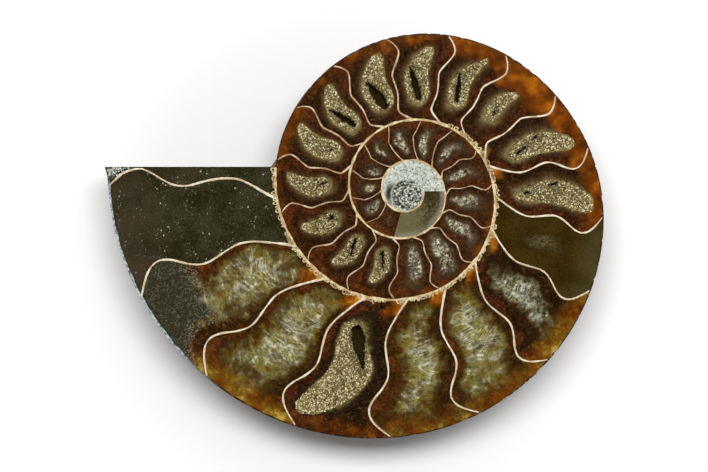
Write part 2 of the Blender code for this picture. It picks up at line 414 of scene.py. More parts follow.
class NodeSheet:
    """A node tree with short calls for the nodes that the finishes share."""

    def __init__(self, tree: bpy.types.NodeTree) -> None:
        """Clear a tree and keep it.

        Args:
            tree: a material's or the world's node tree.
        """
        tree.nodes.clear()
        self.tree = tree

    def node(self, kind: str, inputs: dict, **settings: object) -> bpy.types.Node:
        """Add a node.

        Args:
            kind: the node's type name.
            inputs: value or source socket for each input, by name or number.
            **settings: the node's own properties.

        Returns:
            The new node.
        """
        made = self.tree.nodes.new(kind)
        for key, value in settings.items():
            setattr(made, key, value)
        for key, value in inputs.items():
            if isinstance(value, Socket):
                self.tree.links.new(value, made.inputs[key])
            elif made.inputs[key].type == "RGBA" and not isinstance(value, float):
                made.inputs[key].default_value = (*value, 1.0)
            else:
                made.inputs[key].default_value = value
        return made

    def value(self, name: str, output: str = "Fac") -> Socket:
        """One of the numbers that the mesh carries, or its vector."""
        return self.node("ShaderNodeAttribute", {}, attribute_name=name).outputs[output]

    def place(self) -> Socket:
        """Position in the object's own frame, in metres."""
        return self.node("ShaderNodeTexCoord", {}).outputs["Object"]

    def noise(self, where: Socket, size: float, detail: float = 3.0,
              roughness: float = 0.55) -> Socket:
        """Cloudy noise.

        Args:
            where: the position it is read at.
            size: width of its largest clouds, in the position's units.
            detail: number of finer layers.
            roughness: weight of the finer layers.

        Returns:
            The noise, around a half.
        """
        made = self.node("ShaderNodeTexNoise", {"Vector": where, "Scale": 1.0 / size,
                                                "Detail": detail, "Roughness": roughness})
        return made.outputs["Fac"]

    def dots(self, where: Socket, spacing: float, radius: float) -> Socket:
        """Scattered round dots, 1 in a dot and 0 outside."""
        cells = self.node("ShaderNodeTexVoronoi", {"Vector": where, "Scale": 1.0 / spacing})
        return self.step(cells.outputs["Distance"], 1.3 * radius / spacing, 0.7 * radius / spacing)

    def math(self, operation: str, *inputs: Socket | float) -> Socket:
        """Arithmetic on numbers."""
        return self.node("ShaderNodeMath", dict(enumerate(inputs)), operation=operation).outputs[0]

    def product(self, *factors: Socket | float) -> Socket:
        """Several numbers multiplied together.

        Args:
            *factors: the numbers.

        Returns:
            Their product.
        """
        made = factors[0]
        for factor in factors[1:]:
            made = self.math("MULTIPLY", made, factor)
        return made

    def drifted(self, base: Socket, *clouds: tuple[Socket, float]) -> Socket:
        """A number pushed up and down by noise.

        Args:
            base: the number.
            *clouds: noises, each with how far it pushes.

        Returns:
            The pushed number.
        """
        for cloud, reach in clouds:
            base = self.math("MULTIPLY_ADD", cloud, reach, base)
        return self.math("SUBTRACT", base, 0.5 * sum(reach for _cloud, reach in clouds))

    def blend(self, factor: float, first: Socket, second: Socket) -> Socket:
        """A weighted mean of two numbers; the factor is the second one's share."""
        return self.math("MULTIPLY_ADD", self.math("SUBTRACT", second, first), factor, first)

    def step(self, value: Socket, low: float, high: float, start: float = 0.0,
             end: float = 1.0) -> Socket:
        """A smooth step of a number.

        Args:
            value: the number.
            low: where the step begins.
            high: where it ends.
            start: result below the step.
            end: result above the step.

        Returns:
            The stepped number.
        """
        return self.node("ShaderNodeMapRange", {"Value": value, "From Min": low, "From Max": high,
                                                "To Min": start, "To Max": end},
                         interpolation_type="SMOOTHSTEP").outputs[0]

    def ramp(self, value: Socket, stops: Stops) -> Socket:
        """A colour read along a row of stops.

        Args:
            value: where to read, 0 to 1.
            stops: place and display colour of each stop, in order.

        Returns:
            The colour.
        """
        made = self.node("ShaderNodeValToRGB", {"Fac": value})
        elements = made.color_ramp.elements
        while len(elements) < len(stops):
            elements.new(1.0)
        for element, (place, *shown) in zip(elements, stops):
            element.position = place
            element.color = (*paint(*shown), 1.0)
        return made.outputs["Color"]

    def mix(self, factor: Socket | float, first: Socket | Colour, second: Socket | Colour,
            blend: str = "MIX") -> Socket:
        """Blend two colours.

        Args:
            factor: share of the second colour.
            first: the colour below.
            second: the colour on top.
            blend: how they combine.

        Returns:
            The blended colour.
        """
        return self.node("ShaderNodeMix", {0: factor, 6: first, 7: second}, data_type="RGBA",
                         blend_type=blend).outputs[2]

    def shade(self, colour: Socket, value: Socket, low: float, high: float) -> Socket:
        """A colour made darker or lighter by noise.

        Args:
            colour: the colour.
            value: the noise.
            low: gain where the noise is low.
            high: gain where it is high.

        Returns:
            The shaded colour.
        """
        gain = self.step(value, 0.38, 0.62, low, high)
        made = self.node("ShaderNodeVectorMath", {0: colour, "Scale": gain}, operation="SCALE")
        return made.outputs[0]

    def bump(self, height: Socket, strength: float, depth: float) -> Socket:
        """A bumped normal from a height of 0 to 1 that stands for a depth in metres."""
        return self.node("ShaderNodeBump", {"Height": height, "Strength": strength,
                                            "Distance": depth}).outputs[0]

    def surface(self, inputs: dict) -> None:
        """Close the tree with a Principled shader that takes these inputs."""
        shader = self.node("ShaderNodeBsdfPrincipled", inputs)
        self.node("ShaderNodeOutputMaterial", {"Surface": shader.outputs[0]})


@dataclass(frozen=True)
class Finish:
    """A surface finish: each kind adds its own nodes to an empty sheet."""

    name: str

    def dress(self, sheet: NodeSheet) -> None:
        """Add the nodes.

        Args:
            sheet: the finish's empty sheet.
        """
        raise NotImplementedError

    @cached_property
    def material(self) -> bpy.types.Material:
        """The finish's material, made when it is first asked for."""
        made = bpy.data.materials.new(self.name)
        made.use_nodes = True
        self.dress(NodeSheet(made.node_tree))
        return made


RED_AMBER: Stops = ((0.30, 72, 32, 4), (0.50, 114, 57, 6), (0.66, 166, 92, 14))
YELLOW_AMBER: Stops = (
    (0.30, 84, 36, 4), (0.44, 120, 66, 10), (0.56, 122, 90, 24), (0.70, 184, 150, 60),
)
ORANGE: Stops = ((0.34, 92, 44, 6), (0.50, 142, 76, 10), (0.66, 204, 136, 38))
CREAM_TIPS: Stops = (
    (0.0, 90, 70, 30), (0.3, 158, 140, 90), (0.65, 216, 203, 152), (1.0, 254, 248, 214),
)
GREY_TIPS: Stops = ((0.0, 40, 40, 34), (0.35, 110, 114, 102), (1.0, 238, 242, 230))
MUD_DARK = paint(35, 32, 12)
MUD_LIGHT = paint(60, 57, 37)
PALE_GRAIN = paint(206, 206, 186)


@dataclass(frozen=True)
class CalciteFinish(Finish):
    """Polished calcite that grew in bands, from the chamber walls in to the core.

    The bands run from 0 in the core's middle, through 0.5 at its edge, to 1 at the walls.
    Clouds, fibres and grain say how far noise pushes them. Spar is the broken core's own
    colours; feather, sparkle, veins and washes say how strongly it shows each.
    """

    bands: Stops
    spar: Stops = ()
    spar_edge: float = 0.15
    feather: float = 0.0
    sparkle: float = 0.35
    veins: float = 0.0
    washes: float = 0.0
    clouds: float = 0.5
    fibres: float = 0.6
    grain: float = 0.3
    contrast: float = 0.3
    amber: Stops = RED_AMBER
    amber_grain: float = 0.1

    def dress(self, sheet: NodeSheet) -> None:
        """Add the nodes, which read the mesh's band, across, glows, mud and root.

        Args:
            sheet: the finish's empty sheet.
        """
        where = sheet.place()
        band, across = sheet.value("band"), sheet.value("across")
        root = sheet.value("root", "Vector")
        fibre = sheet.noise(root, 0.40 * MM, 3.0, 0.6)
        broad = sheet.noise(where, 2.6 * MM, 3.0)
        close = sheet.noise(where, 0.60 * MM, 3.0, 0.7)
        flecks = sheet.noise(where, 0.36 * MM, 2.0, 0.7)
        grown = sheet.drifted(band, (broad, self.clouds), (fibre, self.fibres), (close, self.grain))
        colour = sheet.ramp(sheet.math("MULTIPLY_ADD", grown, 0.5, 0.5), self.bands)
        near_wall = sheet.step(grown, 0.25, 0.60)
        dark_side = sheet.product(near_wall, sheet.step(across, 0.42, 0.12), 0.45)
        colour = sheet.mix(dark_side, colour, paint(26, 18, 6))
        red_side = sheet.product(near_wall, sheet.step(across, 0.50, 0.85),
                                 sheet.step(broad, 0.4, 0.6), 0.45)
        colour = sheet.mix(red_side, colour, paint(78, 35, 17))
        dust = sheet.product(sheet.step(flecks, 0.57, 0.67), near_wall, 0.42)
        colour = sheet.mix(dust, colour, paint(128, 90, 60))
        if self.spar:
            colour = self.add_spar(sheet, colour, grown, close, flecks)
        colour = sheet.shade(colour, close, 1.0 - self.contrast, 1.0 + self.contrast)
        # Amber and orange stains at the rim and the foot
        embers = sheet.drifted(sheet.noise(where, 4.6 * MM, 2.0), (close, self.amber_grain))
        for value, stops in (("rim_glow", self.amber), ("foot_glow", ORANGE)):
            reach = sheet.drifted(sheet.value(value), (broad, 0.5), (fibre, 0.3))
            colour = sheet.mix(sheet.step(reach, 0.15, 0.85), colour, sheet.ramp(embers, stops))
        colour = sheet.shade(colour, broad, 0.85, 1.15)
        colour = self.add_mud(sheet, colour, broad, close, flecks)
        sheet.surface({"Base Color": colour, "Roughness": sheet.step(close, 0.3, 0.7, 0.16, 0.28),
                       "Specular IOR Level": 0.25,
                       "Normal": sheet.bump(flecks, 0.12, 0.02 * MM)})

    def add_spar(self, sheet: NodeSheet, colour: Socket, grown: Socket, close: Socket,
                 flecks: Socket) -> Socket:
        """Lay broken spar over the core, with washes of colour and pale veins.

        Args:
            sheet: the finish's sheet.
            colour: the colour so far.
            grown: how far out of the core a place lies.
            close: fine noise.
            flecks: finer noise.

        Returns:
            The colour with the spar.
        """
        where = sheet.place()
        plume = sheet.noise(sheet.value("root", "Vector"), 0.26 * MM, 3.0, 0.7)
        grit = sheet.drifted(sheet.blend(self.feather, close, plume), (flecks, self.sparkle))
        grit = sheet.ramp(grit, self.spar)
        inside = sheet.step(grown, self.spar_edge, self.spar_edge - 0.35)
        colour = sheet.mix(inside, colour, grit)
        wash = sheet.noise(where, 4.6 * MM, 3.0, 0.6)
        lit = sheet.product(sheet.step(wash, 0.50, 0.62), self.washes)
        colour = sheet.mix(lit, colour, paint(252, 244, 176), "MULTIPLY")
        dim = sheet.product(sheet.step(wash, 0.51, 0.41), sheet.step(grown, 0.4, 0.0),
                            self.washes)
        colour = sheet.mix(dim, colour, paint(172, 150, 118), "MULTIPLY")
        heart = sheet.product(sheet.step(grown, -0.60, -1.05), sheet.step(plume, 0.46, 0.64),
                              self.washes)
        colour = sheet.mix(heart, colour, PALE_GRAIN)
        swell = sheet.drifted(sheet.noise(where, 4.0 * MM, 1.0, 0.5), (close, 0.12))
        ridge = sheet.math("ABSOLUTE", sheet.math("SUBTRACT", swell, 0.5))
        vein = sheet.product(sheet.step(ridge, 0.060, 0.005),
                             sheet.step(plume, 0.36, 0.56, 0.2, 1.0),
                             sheet.step(grown, -0.1, -0.5),
                             sheet.step(wash, 0.42, 0.56, 0.35, 1.0), self.veins)
        return sheet.mix(vein, colour, paint(230, 227, 200))

    @staticmethod
    def add_mud(sheet: NodeSheet, colour: Socket, broad: Socket, close: Socket,
                flecks: Socket) -> Socket:
        """Lay mud over the chamber's outer end, with a pale shore.

        Args:
            sheet: the finish's sheet.
            colour: the colour so far.
            broad: coarse noise.
            close: fine noise.
            flecks: finer noise.

        Returns:
            The colour with the mud.
        """
        mud = sheet.mix(close, MUD_DARK, MUD_LIGHT)
        filled = sheet.value("mud")
        buried = sheet.drifted(filled, (broad, 0.6), (close, 0.6), (flecks, 0.5))
        colour = sheet.mix(sheet.step(buried, 0.35, 0.65), colour, mud)
        shore = sheet.product(sheet.step(buried, 0.10, 0.35), sheet.step(buried, 1.5, 0.5),
                              sheet.step(flecks, 0.48, 0.66), sheet.step(filled, 0.0, 0.05), 0.28)
        return sheet.mix(shore, colour, PALE_GRAIN)


@dataclass(frozen=True)
class MudFinish(Finish):
    """Polished mud stone: dark, even, sprinkled with pale grains."""

    dark: Colour = MUD_DARK
    light: Colour = MUD_LIGHT
    tint: Colour = paint(70, 56, 42)
    specks: float = 1.0
    smudge: float = 0.0
    fade: float = 0.0

    def dress(self, sheet: NodeSheet) -> None:
        """Add the nodes, which read band, across and rim_glow from the mesh.

        Args:
            sheet: the finish's empty sheet.
        """
        where = sheet.place()
        broad = sheet.noise(where, 6.0 * MM, 4.0)
        close = sheet.noise(where, 0.40 * MM, 3.0, 0.75)
        ground = sheet.drifted(broad, (close, 1.0), (sheet.value("across"), self.fade))
        colour = sheet.mix(sheet.step(ground, 0.30, 0.70), self.dark, self.light)
        stain = sheet.product(sheet.value("rim_glow"), sheet.step(broad, 0.3, 0.7, 0.4, 1.0))
        colour = sheet.mix(stain, colour, self.tint)
        pale = sheet.product(sheet.step(sheet.value("band"), 0.1, -0.9),
                             sheet.step(close, 0.35, 0.70), self.smudge)
        colour = sheet.mix(pale, colour, paint(150, 146, 110))
        crowd = sheet.step(sheet.noise(where, 3.4 * MM, 2.0), 0.47, 0.62, 0.06, 1.0)
        faint = sheet.product(sheet.dots(where, 0.70 * MM, 0.12 * MM), crowd, 0.35)
        large = sheet.product(sheet.dots(where, 1.20 * MM, 0.17 * MM), crowd, 0.8)
        grain = sheet.math("MAXIMUM", faint, large)
        colour = sheet.mix(sheet.product(grain, self.specks), colour, PALE_GRAIN)
        sheet.surface({"Base Color": colour, "Roughness": sheet.step(close, 0.3, 0.7, 0.22, 0.36),
                       "Specular IOR Level": 0.2, "Normal": sheet.bump(grain, 0.2, 0.02 * MM)})


@dataclass(frozen=True)
class CentreFinish(Finish):
    """The coil's centre: white spar with dark gaps, coarser and greyer in the first chamber."""

    def dress(self, sheet: NodeSheet) -> None:
        """Add the nodes, which read first_chamber and shadow from the mesh.

        Args:
            sheet: the finish's empty sheet.
        """
        where = sheet.place()
        close = sheet.noise(where, 0.60 * MM, 3.0, 0.7)
        fine = sheet.noise(where, 0.48 * MM, 2.0, 0.6)
        white = sheet.ramp(close, ((0.32, 150, 154, 140), (0.50, 200, 206, 192),
                                   (0.66, 228, 232, 222)))
        white = sheet.mix(sheet.step(fine, 0.58, 0.64), white, paint(66, 64, 50))
        spar = sheet.ramp(sheet.drifted(close, (fine, 0.9)),
                          ((0.36, 34, 34, 26), (0.47, 96, 98, 84), (0.56, 160, 166, 150),
                           (0.68, 226, 232, 220)))
        colour = sheet.mix(sheet.value("first_chamber"), white, spar)
        colour = sheet.mix(sheet.value("shadow"), colour, paint(52, 44, 28))
        sheet.surface({"Base Color": colour, "Roughness": 0.35, "Specular IOR Level": 0.2,
                       "Normal": sheet.bump(close, 0.3, 0.03 * MM)})


@dataclass(frozen=True)
class WallFinish(Finish):
    """Shell wall seen in section: pale, with brown growth marks."""

    pale: Colour
    deep: Colour
    mark: Colour = paint(110, 70, 34)
    marks: float = 0.5

    def dress(self, sheet: NodeSheet) -> None:
        """Add the nodes.

        Args:
            sheet: the finish's empty sheet.
        """
        where = sheet.place()
        broad = sheet.noise(where, 1.6 * MM, 3.0)
        close = sheet.noise(where, 0.30 * MM, 3.0, 0.6)
        colour = sheet.mix(sheet.step(broad, 0.36, 0.64), self.deep, self.pale)
        marked = sheet.product(sheet.step(close, 0.52, 0.68), self.marks)
        colour = sheet.mix(marked, colour, self.mark)
        sheet.surface({"Base Color": colour, "Roughness": sheet.step(close, 0.3, 0.7, 0.25, 0.42),
                       "Specular IOR Level": 0.3, "Normal": sheet.bump(close, 0.25, 0.02 * MM)})


@dataclass(frozen=True)
class RimFinish(Finish):
    """Edge of the outer shell: dark brown, then pearly blue-grey near the mouth."""

    def dress(self, sheet: NodeSheet) -> None:
        """Add the nodes, which read pearl from the mesh.

        Args:
            sheet: the finish's empty sheet.
        """
        close = sheet.noise(sheet.place(), 0.6 * MM, 3.0, 0.6)
        brown = sheet.ramp(close, ((0.38, 26, 16, 8), (0.58, 64, 38, 18), (0.74, 140, 116, 76)))
        pearl = sheet.ramp(close, ((0.36, 92, 108, 112), (0.50, 160, 180, 184),
                                   (0.66, 220, 232, 234)))
        colour = sheet.mix(sheet.value("pearl"), brown, pearl)
        sheet.surface({"Base Color": colour, "Roughness": 0.3, "Specular IOR Level": 0.4})


@dataclass(frozen=True)
class ShellFinish(Finish):
    """Outside of the shell: brown calcite under worn, faintly pearly skin."""

    def dress(self, sheet: NodeSheet) -> None:
        """Add the nodes, which read rib from the mesh.

        Args:
            sheet: the finish's empty sheet.
        """
        where = sheet.place()
        broad = sheet.noise(where, 9.0 * MM, 5.0, 0.6)
        close = sheet.noise(where, 1.1 * MM, 4.0, 0.65)
        tone = sheet.drifted(broad, (close, 0.5))
        colour = sheet.ramp(tone, ((0.34, 46, 30, 20), (0.46, 88, 60, 40),
                                   (0.56, 130, 102, 74), (0.68, 166, 146, 120)))
        rust = sheet.step(sheet.noise(where, 5.0 * MM, 4.0, 0.7), 0.54, 0.68)
        colour = sheet.mix(sheet.product(rust, 0.7), colour, paint(116, 52, 20))
        worn = sheet.product(sheet.value("rib"), sheet.step(close, 0.35, 0.65, 0.2, 0.8))
        colour = sheet.mix(worn, colour, paint(180, 164, 138))
        grime = sheet.step(sheet.noise(where, 0.7 * MM, 3.0, 0.7), 0.58, 0.72)
        colour = sheet.mix(sheet.product(grime, 0.6), colour, paint(34, 24, 16))
        sheet.surface({"Base Color": colour, "Roughness": sheet.step(close, 0.3, 0.7, 0.34, 0.58),
                       "Specular IOR Level": 0.35, "Coat Weight": 0.12, "Coat Roughness": 0.25,
                       "Normal": sheet.bump(close, 0.35, 0.10 * MM)})


@dataclass(frozen=True)
class CrystalFinish(Finish):
    """Calcite crystals over a brown bed, with painted shade that darkens them into the slit."""

    tips: Stops = CREAM_TIPS
    bed: Colour = paint(80, 61, 28)
    # Colour of the painted shade in and beside the slit
    deep: Colour = paint(50, 37, 12)

    def dress(self, sheet: NodeSheet) -> None:
        """Add the nodes, which read glint, bare and the painted slit shade from the mesh.

        Args:
            sheet: the finish's empty sheet.
        """
        colour = sheet.ramp(sheet.value("glint"), self.tips)
        colour = sheet.mix(sheet.value("bare"), colour, self.bed)
        # Painted shade: darker toward the deep colour in and beside the slit, with some darker
        # patches
        colour = sheet.mix(sheet.value("gloom"), colour, self.deep)
        sheet.surface({"Base Color": colour, "Roughness": 0.25, "Specular IOR Level": 0.4})


@dataclass(frozen=True)
class PaperFinish(Finish):
    """The pale floor, with a painted glow on seen rays that is weak beside the stone and turns it
    plain white away from it.
    """

    def dress(self, sheet: NodeSheet) -> None:
        """Add the nodes.

        Args:
            sheet: the finish's empty sheet.
        """
        where = sheet.place()
        path = sheet.node("ShaderNodeLightPath", {}).outputs
        seen = sheet.math("MAXIMUM", path["Is Camera Ray"], path["Is Glossy Ray"])
        seen = sheet.math("MAXIMUM", seen, path["Is Transmission Ray"])
        paper = sheet.mix(sheet.noise(where, 2.0 * MM, 2.0), (0.935, 0.935, 0.935),
                          (0.965, 0.965, 0.965))
        far = sheet.node("ShaderNodeVectorMath", {0: where}, operation="LENGTH").outputs["Value"]
        # Painted glow: weak close to the stone, which keeps the floor round it darker, rising to
        # plain white further out
        lift = sheet.math("ADD", sheet.step(far, 0.044, 0.070, 0.02, 0.15),
                          sheet.step(far, 0.07, 0.80, 0.0, 0.7))
        sheet.surface({"Base Color": paper, "Roughness": 0.9, "Specular IOR Level": 0.1,
                       "Emission Color": (1.0, 1.0, 1.0),
                       "Emission Strength": sheet.product(seen, lift)})


# --- Chambers ---

class Foot(Enum):
    """How a chamber wall leans, in degrees from its place at six tenths of the height."""

    SWEEPING = SmoothCurve(((0.0, 15.0), (0.10, 10.0), (0.25, 5.5), (0.45, 1.5), (0.60, 0.0),
                            (0.68, -0.5), (0.80, 1.8), (0.90, 3.2), (1.0, 4.5)))
    FORWARD = SmoothCurve(((0.0, 11.0), (0.05, 7.6), (0.10, 4.4), (0.15, 1.9), (0.20, 0.9),
                           (0.30, 1.2), (0.40, 1.6), (0.50, 1.0), (0.60, 0.0), (0.65, -0.3),
                           (0.70, 0.5), (0.80, 2.8), (0.87, 3.5), (0.94, 1.8), (1.0, -1.0)))
    BACKWARD = SmoothCurve(((0.0, -6.5), (0.10, -3.2), (0.20, -0.6), (0.30, 1.4), (0.40, 2.1),
                            (0.50, 1.2), (0.60, 0.0), (0.66, -0.1), (0.72, 1.0), (0.80, 3.3),
                            (0.86, 3.8), (0.92, 2.2), (1.0, -2.5)))
    LAST = SmoothCurve(((0.0, -5.2), (0.05, -4.2), (0.10, -2.8), (0.20, 0.0), (0.29, 1.75),
                        (0.38, 1.9), (0.48, 1.1), (0.56, 0.05), (0.63, -0.8), (0.70, -0.6),
                        (0.75, 0.45), (0.80, 1.9), (0.84, 2.6), (0.888, 2.2), (0.941, 1.1),
                        (1.0, -1.3)))


class Fill(Enum):
    """What a chamber holds."""

    LINED = "banded calcite round an open hollow"
    STREAKED = "dark calcite with a mottled pale core"
    CREAM = "solid cream calcite"
    GREY = "grey sparry calcite"
    SHADED = "dark banded calcite round an open hollow"
    DARK = "dark red-brown calcite"
    OLIVE = "smooth olive mud stone"
    MUD = "dark mud stone with pale grains"
    FINE_MUD = "fine grey-olive mud stone"


@dataclass(frozen=True)
class Septum:
    """One chamber wall, named by its angle at six tenths of the whorl's height."""

    angle: float
    foot: Foot

    def at(self, share: Array) -> Array:
        """Angle of the wall at a share of the whorl's height."""
        return self.angle + self.foot.value.at(share)


@dataclass(frozen=True)
class StraightEdge:
    """A chamber's plain radial end."""

    angle: float

    def at(self, share: Array) -> Array:
        """Angle of the edge, the same at any share."""
        return np.full(np.shape(share), self.angle)


@dataclass(frozen=True)
class SawCut:
    """The straight cut across the shell's mouth, as the last chamber's end."""

    coil: Coil
    angle: float = 370.0

    def at(self, share: Array) -> Array:
        """Angle of the cut at a share of the whorl's height."""
        return self.coil.cut_angle(share, TURN)


@dataclass(frozen=True)
class Core:
    """The middle of a chamber's filling: an upright oval, in shares of the chamber."""

    inner: float = 0.2
    outer: float = 0.8
    centre: float = 0.5
    half_width: float = 0.2
    tilt: float = 0.0

    def middle_angle(self, chamber: "Chamber", share: Array) -> Array:
        """Angle of the oval's middle line."""
        return chamber.angle(self.centre + self.tilt * (share - 0.5), share)

    def half_angle(self, chamber: "Chamber", share: Array) -> Array:
        """Half the oval's greatest width, in degrees."""
        return self.half_width * (chamber.angle(1.0, share) - chamber.angle(0.0, share))

    def outline(self, chamber: "Chamber", size: float = 1.0, sides: int = 96) -> Array:
        """Points round the oval.

        Args:
            chamber: the chamber it lies in.
            size: how large to draw it, 1 for the oval itself.
            sides: number of points.

        Returns:
            Position in plan of each point.
        """
        way = np.linspace(0.0, 2 * math.pi, sides, endpoint=False)
        middle, reach = 0.5 * (self.inner + self.outer), 0.5 * (self.outer - self.inner)
        share = middle + reach * size * np.cos(way)
        across = size * np.sign(np.sin(way)) * np.abs(np.sin(way)) ** 0.75
        return chamber.coil.plan(self.middle_angle(chamber, share)
                                 + across * self.half_angle(chamber, share), share)

    def nearness(self, chamber: "Chamber", angle: Array, share: Array) -> Array:
        """How far out of the oval's middle a place lies.

        Args:
            chamber: the chamber it lies in.
            angle: angle of each place.
            share: share of each place.

        Returns:
            0 in the middle and 1 on the oval's edge.
        """
        along = np.abs(share - 0.5 * (self.inner + self.outer)) / (0.5 * (self.outer - self.inner))
        across = (np.abs(angle - self.middle_angle(chamber, share))
                  / np.abs(self.half_angle(chamber, share)))
        return np.sqrt(along ** 2 + across ** 2.667)


@dataclass(frozen=True)
class Slit:
    """The dark opening deep in a hollow, with its half width at both ends in millimetres."""

    outer_angle: float
    outer_share: float
    inner_angle: float
    inner_share: float
    outer_width: float
    inner_width: float
    steps: int = 40

    def course(self, coil: Coil) -> tuple[Array, Array]:
        """Follow the slit from its outer to its inner end.

        Args:
            coil: the spiral.

        Returns:
            Positions in plan along the slit, and its half width at each.
        """
        run = np.linspace(0.0, 1.0, self.steps)
        angle = self.outer_angle + run * (self.inner_angle - self.outer_angle)
        share = self.outer_share + run * (self.inner_share - self.outer_share)
        width = (self.outer_width + run * (self.inner_width - self.outer_width)) * MM
        return coil.plan(angle, share), width * (0.6 + 0.4 * np.sin(math.pi * run))


@dataclass(frozen=True)
class Hollow(Core):
    """An open hollow in the face, placed by its angle, with its half width in metres.

    Its middle line follows lean, bend times over; flare widens its outer end against its
    inner one.
    """

    number: int = 0
    at_angle: float = 0.0
    width: float = 2.0 * MM
    slits: tuple[Slit, ...] = ()
    flare: float = -0.1
    bend: float = 1.0
    lean: SmoothCurve = SmoothCurve(((0.25, 3.0), (0.45, 1.0), (0.60, -0.5), (0.75, 1.0),
                                     (0.92, 5.0)))

    @cached_property
    def depth(self) -> float:
        """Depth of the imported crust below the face."""
        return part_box(STONE_NODE)[1].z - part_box(LINING_NODE % self.number)[0].z

    def middle_angle(self, chamber: "Chamber", share: Array) -> Array:
        """Angle of the hollow's middle line."""
        return self.at_angle + self.bend * self.lean.at(share)

    def half_angle(self, chamber: "Chamber", share: Array) -> Array:
        """Half the hollow's width at its widest; it flares toward one end.

        Args:
            chamber: the chamber it lies in.
            share: share of each place.

        Returns:
            The half width in degrees.
        """
        along = (share - 0.5 * (self.inner + self.outer)) / (0.5 * (self.outer - self.inner))
        width = self.width * (1.0 + self.flare * np.clip(along, -1.2, 1.2))
        return np.degrees(width / chamber.coil.radius(self.middle_angle(chamber, share), share))


@dataclass(frozen=True)
class Chamber:
    """One chamber of the shell, between two walls."""

    coil: Coil
    first: Septum | StraightEdge
    last: Septum | StraightEdge | SawCut
    fill: Fill
    core: Core
    amber_rim: float = 0.0
    amber_foot: float = 0.0
    rim_start: float = 0.88
    mud_outside: float = 0.0

    def angle(self, across: Array | float, share: Array) -> Array:
        """Angle of a place given across the chamber, 0 at its first wall and 1 at its last."""
        first = self.first.at(share)
        return first + across * np.maximum(self.last.at(share) - first, 0.3)

    def edge(self) -> Array:
        """Positions in plan all round the chamber's walls."""
        run = np.linspace(0.0, 1.0, 160)
        sides = ((0.0, run), (1.0, run), (run, np.zeros(160)), (run, np.ones(160)))
        return np.concatenate([self.coil.plan(self.angle(across, share), share)
                               for across, share in sides])

    def rim_glow(self, share: Array) -> Array:
        """How strongly a place near the rim is stained amber."""
        return self.amber_rim * ease(share, self.rim_start - 0.12, self.rim_start + 0.08)

    def foot_glow(self, across: Array, share: Array) -> Array:
        """How strongly a place behind the first wall's foot is stained orange."""
        return self.amber_foot * ease(share, 0.26, 0.06) * ease(across, 0.55, 0.15)

    def mud(self, across: Array, share: Array) -> Array:
        """How far mud fills the chamber's outer end."""
        return self.mud_outside * ease(share, 0.66, 0.84) * ease(across, 0.05, 0.40)


# What a chamber holds, its core, and how strong its stains are, as Chamber takes them
Filling = tuple[Fill | Core | float, ...]


